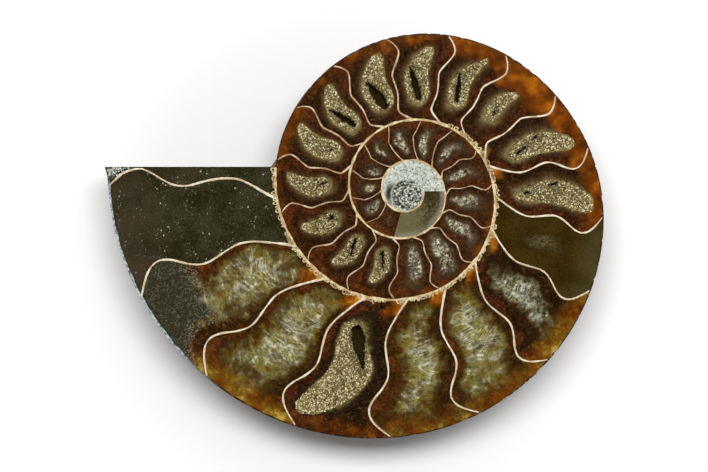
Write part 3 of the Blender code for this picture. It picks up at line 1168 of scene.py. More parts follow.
@dataclass
class ChamberPlan:
    """The chambers in their order from the centre to the mouth."""

    coil: Coil
    sweeping: tuple[float, ...] = (-402, -371, -343, -316.5, -290, -263, -237.5)
    forward: tuple[float, ...] = (-210.5, -184.5, -157.5, -132.5, -108, -83, -59, -34.5, -9.5,
                                  14, 37.5, 60, 83, 105.5, 126.5, 147.8)
    backward: tuple[float, ...] = (168.5, 189.6, 210.6, 232.2, 254, 276, 297.7, 319.4, 340.5)
    last: float = 362.2
    walls: list[Septum] = field(default_factory=list)
    chambers: list[Chamber] = field(default_factory=list)

    def __post_init__(self) -> None:
        """Lay out the chambers of all whorls."""
        for angles, foot in ((self.sweeping, Foot.SWEEPING), (self.forward, Foot.FORWARD),
                             (self.backward, Foot.BACKWARD), ((self.last,), Foot.LAST)):
            self.walls += [Septum(angle, foot) for angle in angles]
        edges = [StraightEdge(-540), StraightEdge(-434), *self.walls, SawCut(self.coil)]
        fillings = self.inner_fillings() + self.middle_fillings() + self.outer_fillings()
        self.chambers = [Chamber(self.coil, first, last, *filling)
                         for first, last, filling in zip(edges, edges[1:], fillings)]

    @property
    def hollows(self) -> list[Chamber]:
        """The chambers with an open hollow."""
        return [chamber for chamber in self.chambers if isinstance(chamber.core, Hollow)]

    @staticmethod
    def inner_fillings() -> list[Filling]:
        """Fillings of the inner whorls, up to the first open hollow."""
        cores = ((0.25, 0.75, 0.50, 0.24), (0.25, 0.68, 0.50, 0.20), (0.18, 0.60, 0.42, 0.22),
                 (0.38, 0.82, 0.50, 0.10, -0.3), (0.22, 0.84, 0.50, 0.20, -0.4),
                 (0.14, 0.82, 0.46, 0.18), (0.18, 0.84, 0.48, 0.16), (0.14, 0.80, 0.48, 0.16),
                 (0.12, 0.82, 0.46, 0.20), (0.16, 0.84, 0.46, 0.22), (0.16, 0.92, 0.46, 0.28),
                 (0.14, 0.84, 0.44, 0.22))
        return ([(Fill.FINE_MUD, Core(), 0.9), (Fill.DARK, Core(0.30, 0.70, half_width=0.10), 0.35)]
                + [(Fill.STREAKED, Core(*core), 0.35) for core in cores])

    @staticmethod
    def middle_fillings() -> list[Filling]:
        """Fillings with the open hollows of the upper turn."""
        # Number of the crust, angle, inner and outer end and half width of the hollow, its
        # slits, and the strength of its stains
        lined = (
            (1, -71, 0.32, 0.82, 1.6, ((-73, 0.62, -68, 0.35, 0.28, 0.52),), 0.25, 0.0, 0.88),
            (2, -47, 0.32, 0.82, 1.6, ((-49, 0.62, -43.5, 0.38, 0.28, 0.54),), 0.25, 0.0, 0.88),
            (3, -22, 0.36, 0.84, 1.7, ((-19.6, 0.47, -18.4, 0.42, 0.40, 0.50),), 0.25, 0.0, 0.90),
            (4, 3, 0.36, 0.88, 1.9, ((3.2, 0.52, 6.5, 0.40, 0.16, 0.40),), 0.3, 0.0, 0.92),
            (5, 27, 0.29, 0.88, 2.1, ((27.0, 0.46, 29.5, 0.40, 0.15, 0.25),), 0.6, 0.0, 0.90),
            (6, 49, 0.29, 0.88, 2.2, ((46.5, 0.70, 51.5, 0.34, 0.45, 0.90),), 0.35, 0.0, 0.92),
            (7, 73, 0.28, 0.89, 2.8, ((70.0, 0.66, 75.2, 0.33, 0.70, 1.50),), 0.5, 0.0, 0.90),
            (8, 95, 0.28, 0.88, 2.4, ((91.8, 0.69, 97.0, 0.34, 0.55, 1.05),), 0.45, 0.0, 0.90),
            (9, 117, 0.33, 0.89, 1.9, ((114.2, 0.68, 118.8, 0.39, 0.38, 0.68),), 0.8, 0.2, 0.86),
            (10, 137, 0.40, 0.78, 1.5, ((136.5, 0.56, 138.8, 0.47, 0.16, 0.26),), 1.0, 0.2, 0.78),
            (11, 160, 0.33, 0.91, 2.2, ((157.0, 0.68, 157.4, 0.64, 0.26, 0.30),
                                        (158.6, 0.59, 161.2, 0.41, 0.18, 0.34)), 1.0, 0.5, 0.86),
            (12, 180.5, 0.28, 0.93, 2.4, ((177.0, 0.68, 177.6, 0.62, 0.34, 0.30),
                                          (180.4, 0.42, 181.0, 0.36, 0.24, 0.30)), 0.9, 0.9, 0.90),
        )
        shapes = {9: (-0.4, 1.0), 11: (0.25, 0.7), 12: (0.5, 0.7)}
        made = []
        for number, angle, inner, outer, width, openings, *stains in lined:
            flare, bend = shapes.get(number, (-0.1, 1.0))
            hollow = Hollow(inner, outer, number=number, at_angle=angle, width=width * MM,
                            slits=tuple(Slit(*ends) for ends in openings), flare=flare, bend=bend)
            made.append((Fill.LINED, hollow, *stains))
        return made

    @staticmethod
    def outer_fillings() -> list[Filling]:
        """Fillings of the last half turn, up to the saw cut."""
        last_hollow = Hollow(0.27, 0.92, number=13, at_angle=288, width=4.2 * MM, flare=0.4,
                             bend=1.45, slits=(Slit(283.8, 0.61, 289.6, 0.33, 0.45, 2.10),))
        return [
            (Fill.OLIVE, Core(0.35, 0.75, half_width=0.16), 0.7, 0.0, 0.92),
            (Fill.GREY, Core(0.22, 0.86, 0.48, 0.22), 0.8, 0.9, 0.90),
            (Fill.CREAM, Core(0.16, 0.97, 0.50, 0.36), 0.7, 0.8, 0.93),
            (Fill.CREAM, Core(0.14, 0.93, 0.48, 0.27), 0.6, 0.9, 0.92),
            (Fill.SHADED, last_hollow, 0.4, 1.0, 0.93),
            (Fill.CREAM, Core(0.08, 0.95, 0.48, 0.36), 0.8, 1.0, 0.93),
            (Fill.CREAM, Core(0.05, 0.74, 0.48, 0.40), 0.6, 1.0, 0.94, 1.0),
            (Fill.MUD, Core(), 0.7, 0.0, 0.86),
            (Fill.MUD, Core(), 0.5, 0.0, 0.60),
        ]


# --- Pieces ---

LINED_BANDS: Stops = (
    (0.35, 140, 127, 88), (0.50, 138, 124, 82), (0.54, 112, 97, 60), (0.60, 82, 62, 36),
    (0.65, 70, 49, 26), (0.72, 60, 37, 16), (0.80, 49, 27, 8), (0.88, 46, 24, 4),
    (1.00, 64, 33, 8),
)
SHADED_BANDS: Stops = (
    (0.35, 140, 127, 88), (0.50, 132, 118, 76), (0.54, 86, 74, 42), (0.59, 50, 40, 20),
    (0.68, 38, 27, 12), (0.80, 38, 22, 8), (0.90, 46, 25, 6), (1.00, 64, 33, 8),
)
STREAKED_BANDS: Stops = (
    (0.00, 158, 152, 134), (0.20, 136, 128, 108), (0.35, 110, 98, 80), (0.50, 84, 66, 48),
    (0.60, 70, 50, 33), (0.75, 58, 35, 16), (1.00, 60, 32, 10),
)
CREAM_BANDS: Stops = (
    (0.00, 164, 156, 120), (0.15, 136, 129, 90), (0.30, 122, 113, 70), (0.45, 108, 94, 50),
    (0.54, 94, 76, 36), (0.62, 74, 53, 20), (0.74, 54, 32, 7), (0.86, 54, 32, 7),
    (1.00, 80, 47, 10),
)
GREY_BANDS: Stops = (
    (0.00, 190, 194, 180), (0.20, 142, 144, 124), (0.34, 106, 98, 70), (0.46, 92, 80, 54),
    (0.54, 70, 56, 33), (0.62, 42, 26, 10), (0.76, 40, 22, 6), (0.90, 50, 28, 10),
    (1.00, 64, 36, 14),
)
STREAKED_SPAR: Stops = (
    (0.36, 64, 48, 32), (0.46, 104, 92, 72), (0.55, 160, 153, 132), (0.65, 226, 222, 206),
)
CREAM_SPAR: Stops = (
    (0.32, 92, 79, 38), (0.46, 124, 115, 70), (0.56, 156, 150, 108), (0.70, 220, 219, 190),
)
GREY_SPAR: Stops = (
    (0.36, 54, 46, 26), (0.46, 96, 93, 68), (0.56, 144, 145, 122), (0.70, 222, 226, 212),
)
DARK_BANDS: Stops = ((0.3, 72, 56, 40), (0.6, 62, 38, 18), (1.0, 76, 42, 18))


@dataclass
class ChamberFillings:
    """The polished stone in the chambers, one closed slab for each chamber."""

    plan: ChamberPlan
    cell: float = 0.34 * MM
    slab: float = 0.80 * MM
    sunk: float = 0.03 * MM
    rim_inset: float = 0.15 * MM
    bed_clearance: float = 0.5 * MM
    ragged: float = 0.16 * MM
    notches: tuple[float, float] = (0.42 * MM, 0.21 * MM)
    mouth_edge: tuple[float, float] = (0.14 * MM, -0.12 * MM)
    root_rise: float = 0.5 * MM
    late_from: float = 90.0

    def opened(self, plan: Array, gap: Array) -> Array:
        """How far places lie within a hollow's ragged mouth.

        Args:
            plan: positions in plan.
            gap: their distance outside the mouth's oval, below zero inside it.

        Returns:
            0 on the face and 1 in the hollow.
        """
        coarse, fine = self.notches
        notches = ripple(plan, coarse) + 0.6 * ripple(plan[..., ::-1], fine)
        return ease(gap + self.ragged * notches, *self.mouth_edge)

    @staticmethod
    def pinched(core: Hollow, across: Array, share: Array, outside: Array) -> Array:
        """Crowd the bands round a hollow toward the last wall and the crown.

        Args:
            core: the hollow.
            across: places across the chamber.
            share: their shares.
            outside: how far they lie from the mouth to the wall.

        Returns:
            How far out the bands put each place; a pale halo stays wide at the hollow's foot.
        """
        foot = ease(share, core.inner + 0.26, core.inner)
        crown = ease(share, core.outer - 0.16, core.outer + 0.04)
        halo = 1.0 - 0.75 * foot * ease(outside, 0.64, 0.12)
        return outside * ((0.85 + 0.45 * across) * halo * (1.0 + 0.7 * crown))

    def lay(self, draft: MeshDraft, chamber: Chamber, finish: int) -> None:
        """Add one chamber's slab to a draft.

        Args:
            draft: the draft.
            chamber: the chamber.
            finish: number of the finish that the slab takes.
        """
        coil, core = chamber.coil, chamber.core
        middle = np.array([0.5])
        first, last = chamber.angle(0.0, middle), chamber.angle(1.0, middle)
        width = float(np.radians(last - first)[0] * coil.radius(first, middle)[0])
        whorl = float(coil.outer(last)[0] - coil.outer(last - TURN)[0])
        columns, rows = math.ceil(width / self.cell), math.ceil(whorl / self.cell)
        across, share = np.meshgrid(np.linspace(0, 1, columns + 1), np.linspace(0, 1, rows + 1),
                                    indexing="ij")
        share = share * (1.0 - self.rim_inset / whorl)
        angle = chamber.angle(across, share)
        near = core.nearness(chamber, angle, share)
        plan = coil.plan(angle, share)
        flat = plan.reshape(-1, 2)
        wall_gap, root = nearest_on(flat, chamber.edge())
        core_gap, _edge = nearest_on(flat, core.outline(chamber, sides=240))
        outside = (core_gap / (core_gap + wall_gap + 1e-9)).reshape(near.shape)
        depth = np.full(near.shape, self.sunk)
        if isinstance(core, Hollow):
            gap = np.where(near > 1.0, 1.0, -1.0) * core_gap.reshape(near.shape)
            depth += self.opened(plan, gap) * (core.depth + self.bed_clearance)
            outside = self.pinched(core, across, share, outside)
        upper = coil.lift(plan, depth)
        lower = upper - np.array([0.0, 0.0, self.slab])
        mud = chamber.mud(across, share)
        band = np.where(near > 1.0, outside, np.clip(near, 0.0, 1.0) - 1.0)
        band -= 1.2 * mud * (1.0 - mud)
        root = np.column_stack((root, band.ravel() * self.root_rise))
        draft.add_slab(upper, lower, finish, band=band, across=across, root=root, mud=mud,
                       rim_glow=chamber.rim_glow(share), foot_glow=chamber.foot_glow(across, share))

    def build(self) -> list[bpy.types.Object]:
        """Make the fillings of the inner and of the last whorl."""
        finishes = {
            Fill.LINED: CalciteFinish("banded_calcite", LINED_BANDS, clouds=0.6, fibres=0.35,
                                      contrast=0.35),
            Fill.SHADED: CalciteFinish("shaded_calcite", SHADED_BANDS, clouds=0.8, fibres=0.35,
                                       contrast=0.45),
            Fill.STREAKED: CalciteFinish("mottled_calcite", STREAKED_BANDS, STREAKED_SPAR,
                                         spar_edge=0.0, feather=0.35, veins=0.3, washes=0.5,
                                         clouds=1.5, grain=0.6, contrast=0.4),
            Fill.CREAM: CalciteFinish("cream_calcite", CREAM_BANDS, CREAM_SPAR,
                                      spar_edge=-0.25, feather=0.75, sparkle=0.1, veins=0.55,
                                      washes=0.8, clouds=2.5, fibres=1.1, grain=0.55,
                                      amber=YELLOW_AMBER, amber_grain=0.5),
            Fill.GREY: CalciteFinish("grey_calcite", GREY_BANDS, GREY_SPAR,
                                     spar_edge=0.05, feather=0.6, sparkle=0.2, veins=0.8,
                                     washes=0.6, clouds=1.9, grain=0.6, contrast=0.35,
                                     amber=YELLOW_AMBER, amber_grain=0.5),
            Fill.DARK: CalciteFinish("dark_calcite", DARK_BANDS, clouds=0.9, contrast=0.5),
            Fill.OLIVE: MudFinish("olive_mud", paint(49, 35, 2), paint(66, 52, 14),
                                  paint(82, 75, 44), specks=0.04, smudge=0.36),
            Fill.MUD: MudFinish("dark_mud"),
            Fill.FINE_MUD: MudFinish("fine_mud", paint(56, 46, 24), paint(108, 100, 69),
                                     paint(150, 143, 118), specks=0.4, fade=0.5),
        }
        order = list(finishes)
        pieces = []
        for name, late in (("chamber_fillings_inner", False), ("chamber_fillings_outer", True)):
            draft = MeshDraft(name, ("band", "across", "rim_glow", "foot_glow", "mud", "root"))
            for chamber in self.plan.chambers:
                if (chamber.last.angle > self.late_from) == late:
                    self.lay(draft, chamber, order.index(chamber.fill))
            pieces.append(draft.build(list(finishes.values()), "polished_stone"))
        return pieces


@dataclass
class CoilCentre:
    """The pale spar round the first chamber, inside the innermost wall.

    The first chamber is placed by its offset from the coil's centre and its radius. A dark
    crescent lies round it: the rings say how far out it is darkest, starts to fade and ends.
    """

    coil: Coil
    first_angle: float = -900.0
    last_angle: float = -540.0
    slab: float = 0.80 * MM
    sunk: float = 0.03 * MM
    first_chamber: tuple[float, float, float] = (0.0, -0.8 * MM, 3.4 * MM)
    shadow_angle: float = -724.0
    shadow_reach: tuple[float, float] = (52.0, 6.0)
    shadow_rings: tuple[float, float, float] = (0.4 * MM, 0.8 * MM, 1.9 * MM)

    def build(self) -> bpy.types.Object:
        """Make the disc."""
        angle, share = np.meshgrid(np.linspace(self.first_angle, self.last_angle, 181),
                                   np.linspace(0.01, 1.0, 36), indexing="ij")
        plan = self.coil.spot(angle, share * self.coil.outer(angle))
        upper = self.coil.lift(plan, self.sunk)
        x, y, radius = self.first_chamber
        off = np.linalg.norm(plan - np.array(self.coil.centre) - np.array((x, y)), axis=-1)
        dark, paler, clear = (radius + ring for ring in self.shadow_rings)
        shadow = (ease(off, radius, dark) * ease(off, clear, paler)
                  * ease(np.abs(angle - self.shadow_angle), *self.shadow_reach))
        draft = MeshDraft("coil_centre", ("first_chamber", "shadow"))
        draft.add_slab(upper, upper - np.array([0.0, 0.0, self.slab]), 0, shadow=shadow,
                       first_chamber=1.0 - ease(off, radius - 0.2 * MM, radius + 0.2 * MM))
        return draft.build([CentreFinish("centre_spar")], "polished_stone")


@dataclass
class StoneBody:
    """The stone below the face: flank with ribs, umbilicus and sawn end.

    Rows count down the flank: 0 at the face, seam where the whorl inside meets it, shoulder at
    the umbilicus. The two section curves give each row's radius and its depth as shares.
    """

    coil: Coil
    first: int = -540
    end: int = 375
    cut_blend: float = 60.0
    inner_blend: float = 22.0
    tray: float = 0.70 * MM
    pit_clearance: float = 1.6 * MM
    centre_depth: float = 2.2 * MM
    level_from: float = 165.0
    rib_height: float = 0.42 * MM
    rib_every: float = 7.5
    rib_ends: float = 15.0
    rib_push: tuple[float, float] = (0.45, 0.8)
    first_row: float = 0.45
    seam: float = 7.0
    shoulder: float = 10.0
    umbilicus: float = 3.0
    face_rows: int = 18
    pit_edge: tuple[float, float] = (1.9, 1.2)
    section_radius: SmoothCurve = SmoothCurve(tuple(enumerate(
        (1.000, 0.995, 0.975, 0.940, 0.890, 0.820, 0.740, 0.650, 0.560, 0.470, 0.410))))
    section_depth: SmoothCurve = SmoothCurve(tuple(enumerate(
        (0.00, 0.16, 0.34, 0.52, 0.69, 0.84, 0.95, 1.00, 1.00, 0.96, 0.88))))
    rib_rise: SmoothCurve = SmoothCurve(((0.4, 0.0), (1.5, 0.35), (3.0, 1.0), (4.5, 0.9),
                                         (6.0, 0.25), (6.8, 0.0)))
    rib_sweep: SmoothCurve = SmoothCurve(((0.0, -3.5), (2.5, 1.5), (4.5, 0.0), (7.0, 2.5)))

    def outside(self, angle: Array, row: Array) -> tuple[Array, Array]:
        """Radius and height down the shell's outside, without ribs.

        Args:
            angle: angle round the coil.
            row: place down the flank, up to the shoulder.

        Returns:
            The radius and the height of each place.
        """
        outer, top = self.coil.outer(angle), self.coil.top
        grown = np.minimum(1.0, outer / self.coil.outer(self.level_from))
        depth = top * grown * np.minimum(1.0, self.section_depth.at(row))
        return outer * self.section_radius.at(row), np.maximum(top - depth, 0.0)

    def section(self, angle: Array, row: Array) -> tuple[Array, Array]:
        """Radius and height down the flank and into the umbilicus, without ribs.

        Args:
            angle: angle round the coil.
            row: place down the flank, to the seam with the whorl inside.

        Returns:
            The radius and the height of each place.
        """
        radius, height = self.outside(angle, np.minimum(row, self.shoulder))
        seam_radius, seam_height = self.outside(angle - TURN, np.full(np.shape(row), self.seam))
        way = 0.5 * math.pi * np.clip((row - self.shoulder) / self.umbilicus, 0.0, 1.0)
        return (radius + (seam_radius - radius) * np.sin(way),
                height + (seam_height - height) * (1 - np.cos(way)))

    def turned(self, angle: Array, radius: Array, near: float, blend: float,
               fade: Array | float = 1.0) -> Array:
        """Turn angles gradually onto the saw cut near one end of the last whorl.

        Args:
            angle: the grid's own angles.
            radius: radius of each grid point.
            near: angle of the whorl's end.
            blend: how far from the end the turn reaches.
            fade: how strongly each point follows.

        Returns:
            The turned angles.
        """
        share = np.clip(1.0 - np.abs(near - angle) / blend, 0.0, 1.0) ** 2 * fade
        turn = TURN * math.floor(near / TURN)
        return angle + share * (self.coil.cut_angle_at(radius, turn) - near)

    def flank(self, angle: Array, row: Array) -> tuple[Array, Array]:
        """The flank's points.

        Args:
            angle: grid of angles.
            row: grid of places down the flank.

        Returns:
            The positions, and how far each stands on a rib.
        """
        end = float(self.end)
        radius, _height = self.section(angle, row)
        moved = self.turned(angle, radius, end, self.cut_blend)
        bottom = self.shoulder + self.umbilicus
        fade = np.clip((bottom - row) / (bottom - self.seam), 0.0, 1.0)
        moved = self.turned(moved, radius, end - TURN, self.inner_blend, fade)
        radius, height = self.section(moved, row)
        wave = np.cos(2 * math.pi * (angle + self.rib_sweep.at(row)) / self.rib_every)
        from_ends = np.clip(np.minimum(angle - end + TURN, end - angle) / self.rib_ends, 0.0, 1.0)
        rise = self.rib_rise.at(row)
        push = self.rib_height * rise * wave ** 3 * from_ends
        outward, down = self.rib_push
        plan = self.coil.spot(moved, radius + outward * push)
        height = np.maximum(height - down * push, 0.0)
        return np.concatenate((plan, height[..., None]), axis=-1), rise * np.maximum(wave, 0.0)

    def bed(self, plan: ChamberPlan, angle: Array, share: Array) -> Array:
        """The points of the bed below the fillings, deeper under the hollows.

        Args:
            plan: the chambers.
            angle: grid of angles.
            share: grid of shares.

        Returns:
            The positions.
        """
        angle = self.turned(angle, self.coil.radius(angle, share), float(self.end), self.cut_blend)
        depth = np.full(angle.shape, self.tray)
        for chamber in plan.hollows:
            near = chamber.core.nearness(chamber, angle, share)
            pit = chamber.core.depth + self.pit_clearance - self.tray
            depth = np.maximum(depth, self.tray + ease(near, *self.pit_edge) * pit)
        return self.coil.lift(self.coil.plan(angle, share), depth)

    def stitched(self, flank: Array, bed: Array, seam_row: int) -> tuple[list[Array], Array]:
        """Join the flank's and the bed's grids into one closed skin.

        Args:
            flank: the flank's positions, angles by rows.
            bed: the bed's positions, angles by shares.
            seam_row: the flank's row that the next whorl meets.

        Returns:
            Blocks of faces, and the loop round the sawn end. They number the flank's points
            first, then the bed's, the umbilicus's bottom and the bed's middle.
        """
        turn, inner = int(TURN), self.end - int(TURN) - self.first
        outer_index = np.arange(flank[..., 0].size).reshape(flank.shape[:2])
        outer_index[turn:, -1] = outer_index[:-turn, seam_row]
        face_index = outer_index.size + np.arange(bed[..., 0].size).reshape(bed.shape[:2])
        face_index[inner:, -1] = outer_index[inner:, 0]
        face_index[turn:, 0] = face_index[:-turn, -1]
        pit, hub = face_index.max() + 1 + np.arange(2)
        umbilicus = np.concatenate((outer_index[:turn + 1, -1], outer_index[0, seam_row + 1:-1]))
        middle = np.concatenate((face_index[:turn + 1, 0], face_index[0, self.face_rows - 1:0:-1]))
        fans = [np.column_stack((loop, np.roll(loop, -1), np.full(len(loop), tip)))
                for loop, tip in ((umbilicus, pit), (middle, hub))]
        end_loop = np.concatenate((face_index[-1], outer_index[-1, 1:],
                                   outer_index[inner, seam_row - 1:0:-1]))
        faces = [grid_faces(face_index), grid_faces(outer_index[inner:]),
                 grid_faces(outer_index[:inner + 1, seam_row:]), *fans]
        return [block[[len(set(face)) == len(face) for face in block.tolist()]]
                for block in faces], end_loop

    def build(self, plan: ChamberPlan) -> bpy.types.Object:
        """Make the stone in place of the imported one.

        Args:
            plan: the chambers, for the beds of their hollows.

        Returns:
            The stone.
        """
        angles = np.arange(self.first, self.end + 1, dtype=float)
        down = np.concatenate(([self.first_row], np.arange(2, 2 * self.shoulder + 1) / 2,
                               self.shoulder + self.umbilicus * np.arange(1, 6) / 5))
        shares = np.linspace(0.0, 1.0, self.face_rows + 1)
        flank, ribs = self.flank(*np.meshgrid(angles, down, indexing="ij"))
        bed = self.bed(plan, *np.meshgrid(angles, shares, indexing="ij"))
        faces, end_loop = self.stitched(flank, bed, int(np.argmin(np.abs(down - self.seam))))
        points = np.concatenate((flank.reshape(-1, 3), bed.reshape(-1, 3),
                                 [[*self.coil.centre, self.coil.top - self.centre_depth],
                                  [*self.coil.centre, self.coil.top - self.tray]]))
        cut = self.coil.cut_height * self.coil.venter_radius
        points[end_loop, 1] = self.coil.centre[1] + cut
        corners = np.concatenate([*(block.ravel() for block in faces), end_loop])
        used, renumbered = np.unique(corners, return_inverse=True)
        marks = np.concatenate((ribs.ravel(), np.zeros(len(points) - ribs.size)))[used]
        draft = MeshDraft("stone", ("rib",))
        cuts = np.cumsum([block.size for block in faces])
        blocks = [part.reshape(block.shape)
                  for part, block in zip(np.split(renumbered, cuts), faces)]
        draft.add(points[used], blocks, rib=marks)
        draft.faces.append(renumbered[cuts[-1]:][None, :])
        draft.finishes.append(np.array([1]))
        item = draft.build([ShellFinish("outer_shell"), MudFinish("sawn_end", specks=0.6)],
                           "polished_stone", crease=50.0)
        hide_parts(STONE_NODE)
        return item


@dataclass
class ShellWalls:
    """The shell's walls in section: the coiled wall, the chamber walls and the outer rim.

    A ribbon's profile gives shares of its width with depths in millimetres; the rim's gives
    shares of its width, then the depths of its top and its underside. Frill sizes are in
    millimetres, and the tables give shares at angles.
    """

    plan: ChamberPlan
    depth: float = 0.45 * MM
    spacing: float = 0.25 * MM
    septum_width: float = 0.37 * MM
    wall_width: float = 0.62 * MM
    rim_width: float = 0.30 * MM
    end_gap: float = 0.25 * MM
    late_septa: float = 100.0
    wall_start: float = -905.0
    profile: tuple[tuple[float, float], ...] = ((-0.5, 0.035), (-0.38, 0.004), (0.0, 0.0),
                                                (0.38, 0.004), (0.5, 0.035))
    septum_growth: Table = ((-400, -150, 60, 360), (0.50, 0.68, 0.92, 1.15))
    wall_growth: Table = ((-900, -700, -540, -360, -200, 0), (0.6, 0.8, 0.6, 0.70, 0.95, 1.0))
    frill_chance: Table = ((122, 160, 200, 260, 372), (0.7, 0.9, 0.6, 0.75, 0.9))
    frill_every: float = 1.5
    frill_size: tuple[float, float] = (0.20, 0.42)
    frill_tube: tuple[float, float] = (0.09, 0.14)
    rim_profile: tuple[tuple[float, float, float], ...] = ((1.0, 0.015, 0.9), (0.35, 0.0, 0.9),
                                                           (0.0, 0.06, 0.9), (0.0, 0.45, 0.95))
    nick_depth: float = 0.25 * MM
    pearl_from: tuple[float, float] = (312.0, 330.0)
    pearl_to: tuple[float, float] = (364.0, 359.0)
    seed: int = 11

    def ribbon(self, draft: MeshDraft, line: Array, widths: Array, finish: int = 0) -> None:
        """Add a ribbon laid into the face along a line.

        Args:
            draft: the draft.
            line: positions in plan along the ribbon's middle.
            widths: the ribbon's width at each position.
            finish: number of the finish that the ribbon takes.
        """
        ahead = np.gradient(line, axis=0)
        ahead /= np.linalg.norm(ahead, axis=1)[:, None]
        side = np.stack((-ahead[:, 1], ahead[:, 0]), axis=-1)
        across, sink = np.array(self.profile).T
        plan = line[:, None, :] + side[:, None, :] * (widths[:, None] * across)[..., None]
        lift = self.plan.coil.lift
        draft.add_slab(lift(plan, sink * MM), lift(plan, self.depth), finish)

    def even_line(self, angle: Array, share: Array) -> tuple[Array, Array]:
        """Redraw a line at even spacing.

        Args:
            angle: angles along the line.
            share: shares along the line.

        Returns:
            Positions in plan along the line, and the angle of each.
        """
        plan = self.plan.coil.plan(angle, share)
        run = np.concatenate(([0.0], np.cumsum(np.linalg.norm(np.diff(plan, axis=0), axis=1))))
        even = np.linspace(0.0, run[-1], max(4, int(run[-1] / self.spacing)))
        line = np.stack([np.interp(even, run, plan[:, axis]) for axis in (0, 1)], axis=-1)
        return line, np.interp(even, run, angle)

    def rough(self, base: Array, amount: float, chance: Chance) -> Array:
        """Widths that wander by a share of themselves, smoothed along the line."""
        wander = np.convolve(chance.normal(0.0, 1.0, len(base) + 6), np.ones(7) / 7.0, mode="valid")
        return base * (1.0 + amount * np.clip(2.6 * wander, -1.6, 1.6))

    def build_septa(self) -> bpy.types.Object:
        """Make the chamber walls."""
        chance = np.random.default_rng(self.seed)
        coil = self.plan.coil
        draft = MeshDraft("chamber_walls")
        for wall in self.plan.walls:
            whorl = float(coil.outer(wall.angle) - coil.outer(wall.angle - TURN))
            share = np.linspace(0.0, 1.0 - self.end_gap / whorl, 240)
            line, _angle = self.even_line(wall.at(share), share)
            grown = np.interp(wall.angle, *self.septum_growth)
            run = np.linspace(0.0, 1.0, len(line))
            flare = 1.0 + 0.4 * ease(run, 0.14, 0.0) - 0.25 * ease(run, 0.88, 1.0)
            widths = self.rough(self.septum_width * grown * flare, 0.15, chance)
            self.ribbon(draft, line, widths, int(wall.angle > self.late_septa))
        early = WallFinish("early_chamber_wall", paint(230, 206, 174), paint(182, 146, 108),
                           marks=0.35)
        late = WallFinish("late_chamber_wall", paint(250, 238, 212), paint(214, 190, 154),
                          marks=0.25)
        return draft.build([early, late], "polished_stone")

    def build_coiled_wall(self) -> bpy.types.Object:
        """Make the coiled wall between the whorls, with the frills on its outer side."""
        chance = np.random.default_rng(self.seed + 1)
        coil = self.plan.coil
        angle = np.linspace(self.wall_start, coil.cut_angle(1.0, 0.0) - 0.3, 4000)
        line, turned = self.even_line(angle, np.ones(len(angle)))
        widths = self.wall_width * np.interp(turned, *self.wall_growth)
        draft = MeshDraft("coiled_wall")
        self.ribbon(draft, line, self.rough(widths, 0.22, chance))
        self.add_frills(draft, chance)
        finish = WallFinish("coiled_wall_shell", paint(240, 222, 176), paint(196, 166, 116))
        return draft.build([finish], "polished_stone")

    def add_frills(self, draft: MeshDraft, chance: Chance) -> None:
        """Add the small pale loops that stand on the wall's outer side.

        Args:
            draft: the wall's draft.
            chance: source of the loops' places and sizes.
        """
        coil = self.plan.coil
        start = float(self.frill_chance[0][0])
        for outer_angle in np.arange(start, coil.cut_angle(0.02, TURN), self.frill_every):
            likely = np.interp(outer_angle, *self.frill_chance)
            angle = outer_angle + chance.uniform(-0.6, 0.6)
            size = chance.uniform(*self.frill_size) * MM
            base = coil.outer(angle - TURN) + 0.30 * self.wall_width
            middle = coil.spot(angle, base + size * chance.uniform(0.3, 0.9))
            way = np.linspace(0.0, 2 * math.pi, 13)[:-1] + chance.uniform(0, 1)
            stretch = chance.uniform(0.7, 1.4)
            wobble = 1.0 + chance.uniform(-0.25, 0.25, len(way))
            tube = chance.uniform(*self.frill_tube) * MM
            if chance.uniform() > likely:
                continue
            oval = np.stack((np.cos(way) * stretch, np.sin(way) / stretch), axis=-1)
            rings = [coil.lift(middle + (size * wobble + offset)[:, None] * oval, sink)
                     for offset, sink in ((-tube, 0.0), (tube, 0.0), (tube, self.depth),
                                          (-tube, self.depth))]
            index = np.arange(4 * len(way)).reshape(4, -1)
            draft.add(np.concatenate(rings), [skirt(index[n], index[n - 3]) for n in range(4)])

    def build_rim(self) -> bpy.types.Object:
        """Make the outer shell's edge along the free outline."""
        chance = np.random.default_rng(self.seed + 2)
        coil = self.plan.coil
        angle = np.linspace(coil.cut_angle(1.0, 0.0), coil.cut_angle(1.0, TURN) - 0.05, 1500)
        outer = coil.outer(angle) - 0.03 * MM
        pearly = ease(angle, *self.pearl_from) * ease(angle, *self.pearl_to)
        widths = self.rough(self.rim_width * (1.0 + 0.5 * pearly), 0.2, chance)
        uneven = self.rough(np.ones(len(angle)), 1.0, chance)
        nicks = ease(uneven, 1.9, 2.6) * (1.0 - pearly) * self.nick_depth
        inset, drop, under = np.array(self.rim_profile).T[..., None]
        plan = coil.spot(angle, outer - nicks * (1.0 - inset) - inset * widths).swapaxes(0, 1)
        upper = coil.lift(plan, drop[:, 0] * MM)
        lower = upper.copy()
        lower[:, :, 2] = coil.top - under[:, 0] * MM
        draft = MeshDraft("shell_rim", ("pearl",))
        draft.add_slab(upper, lower, 0, pearl=np.repeat(pearly, 4))
        return draft.build([RimFinish("shell_rim")], "polished_stone")


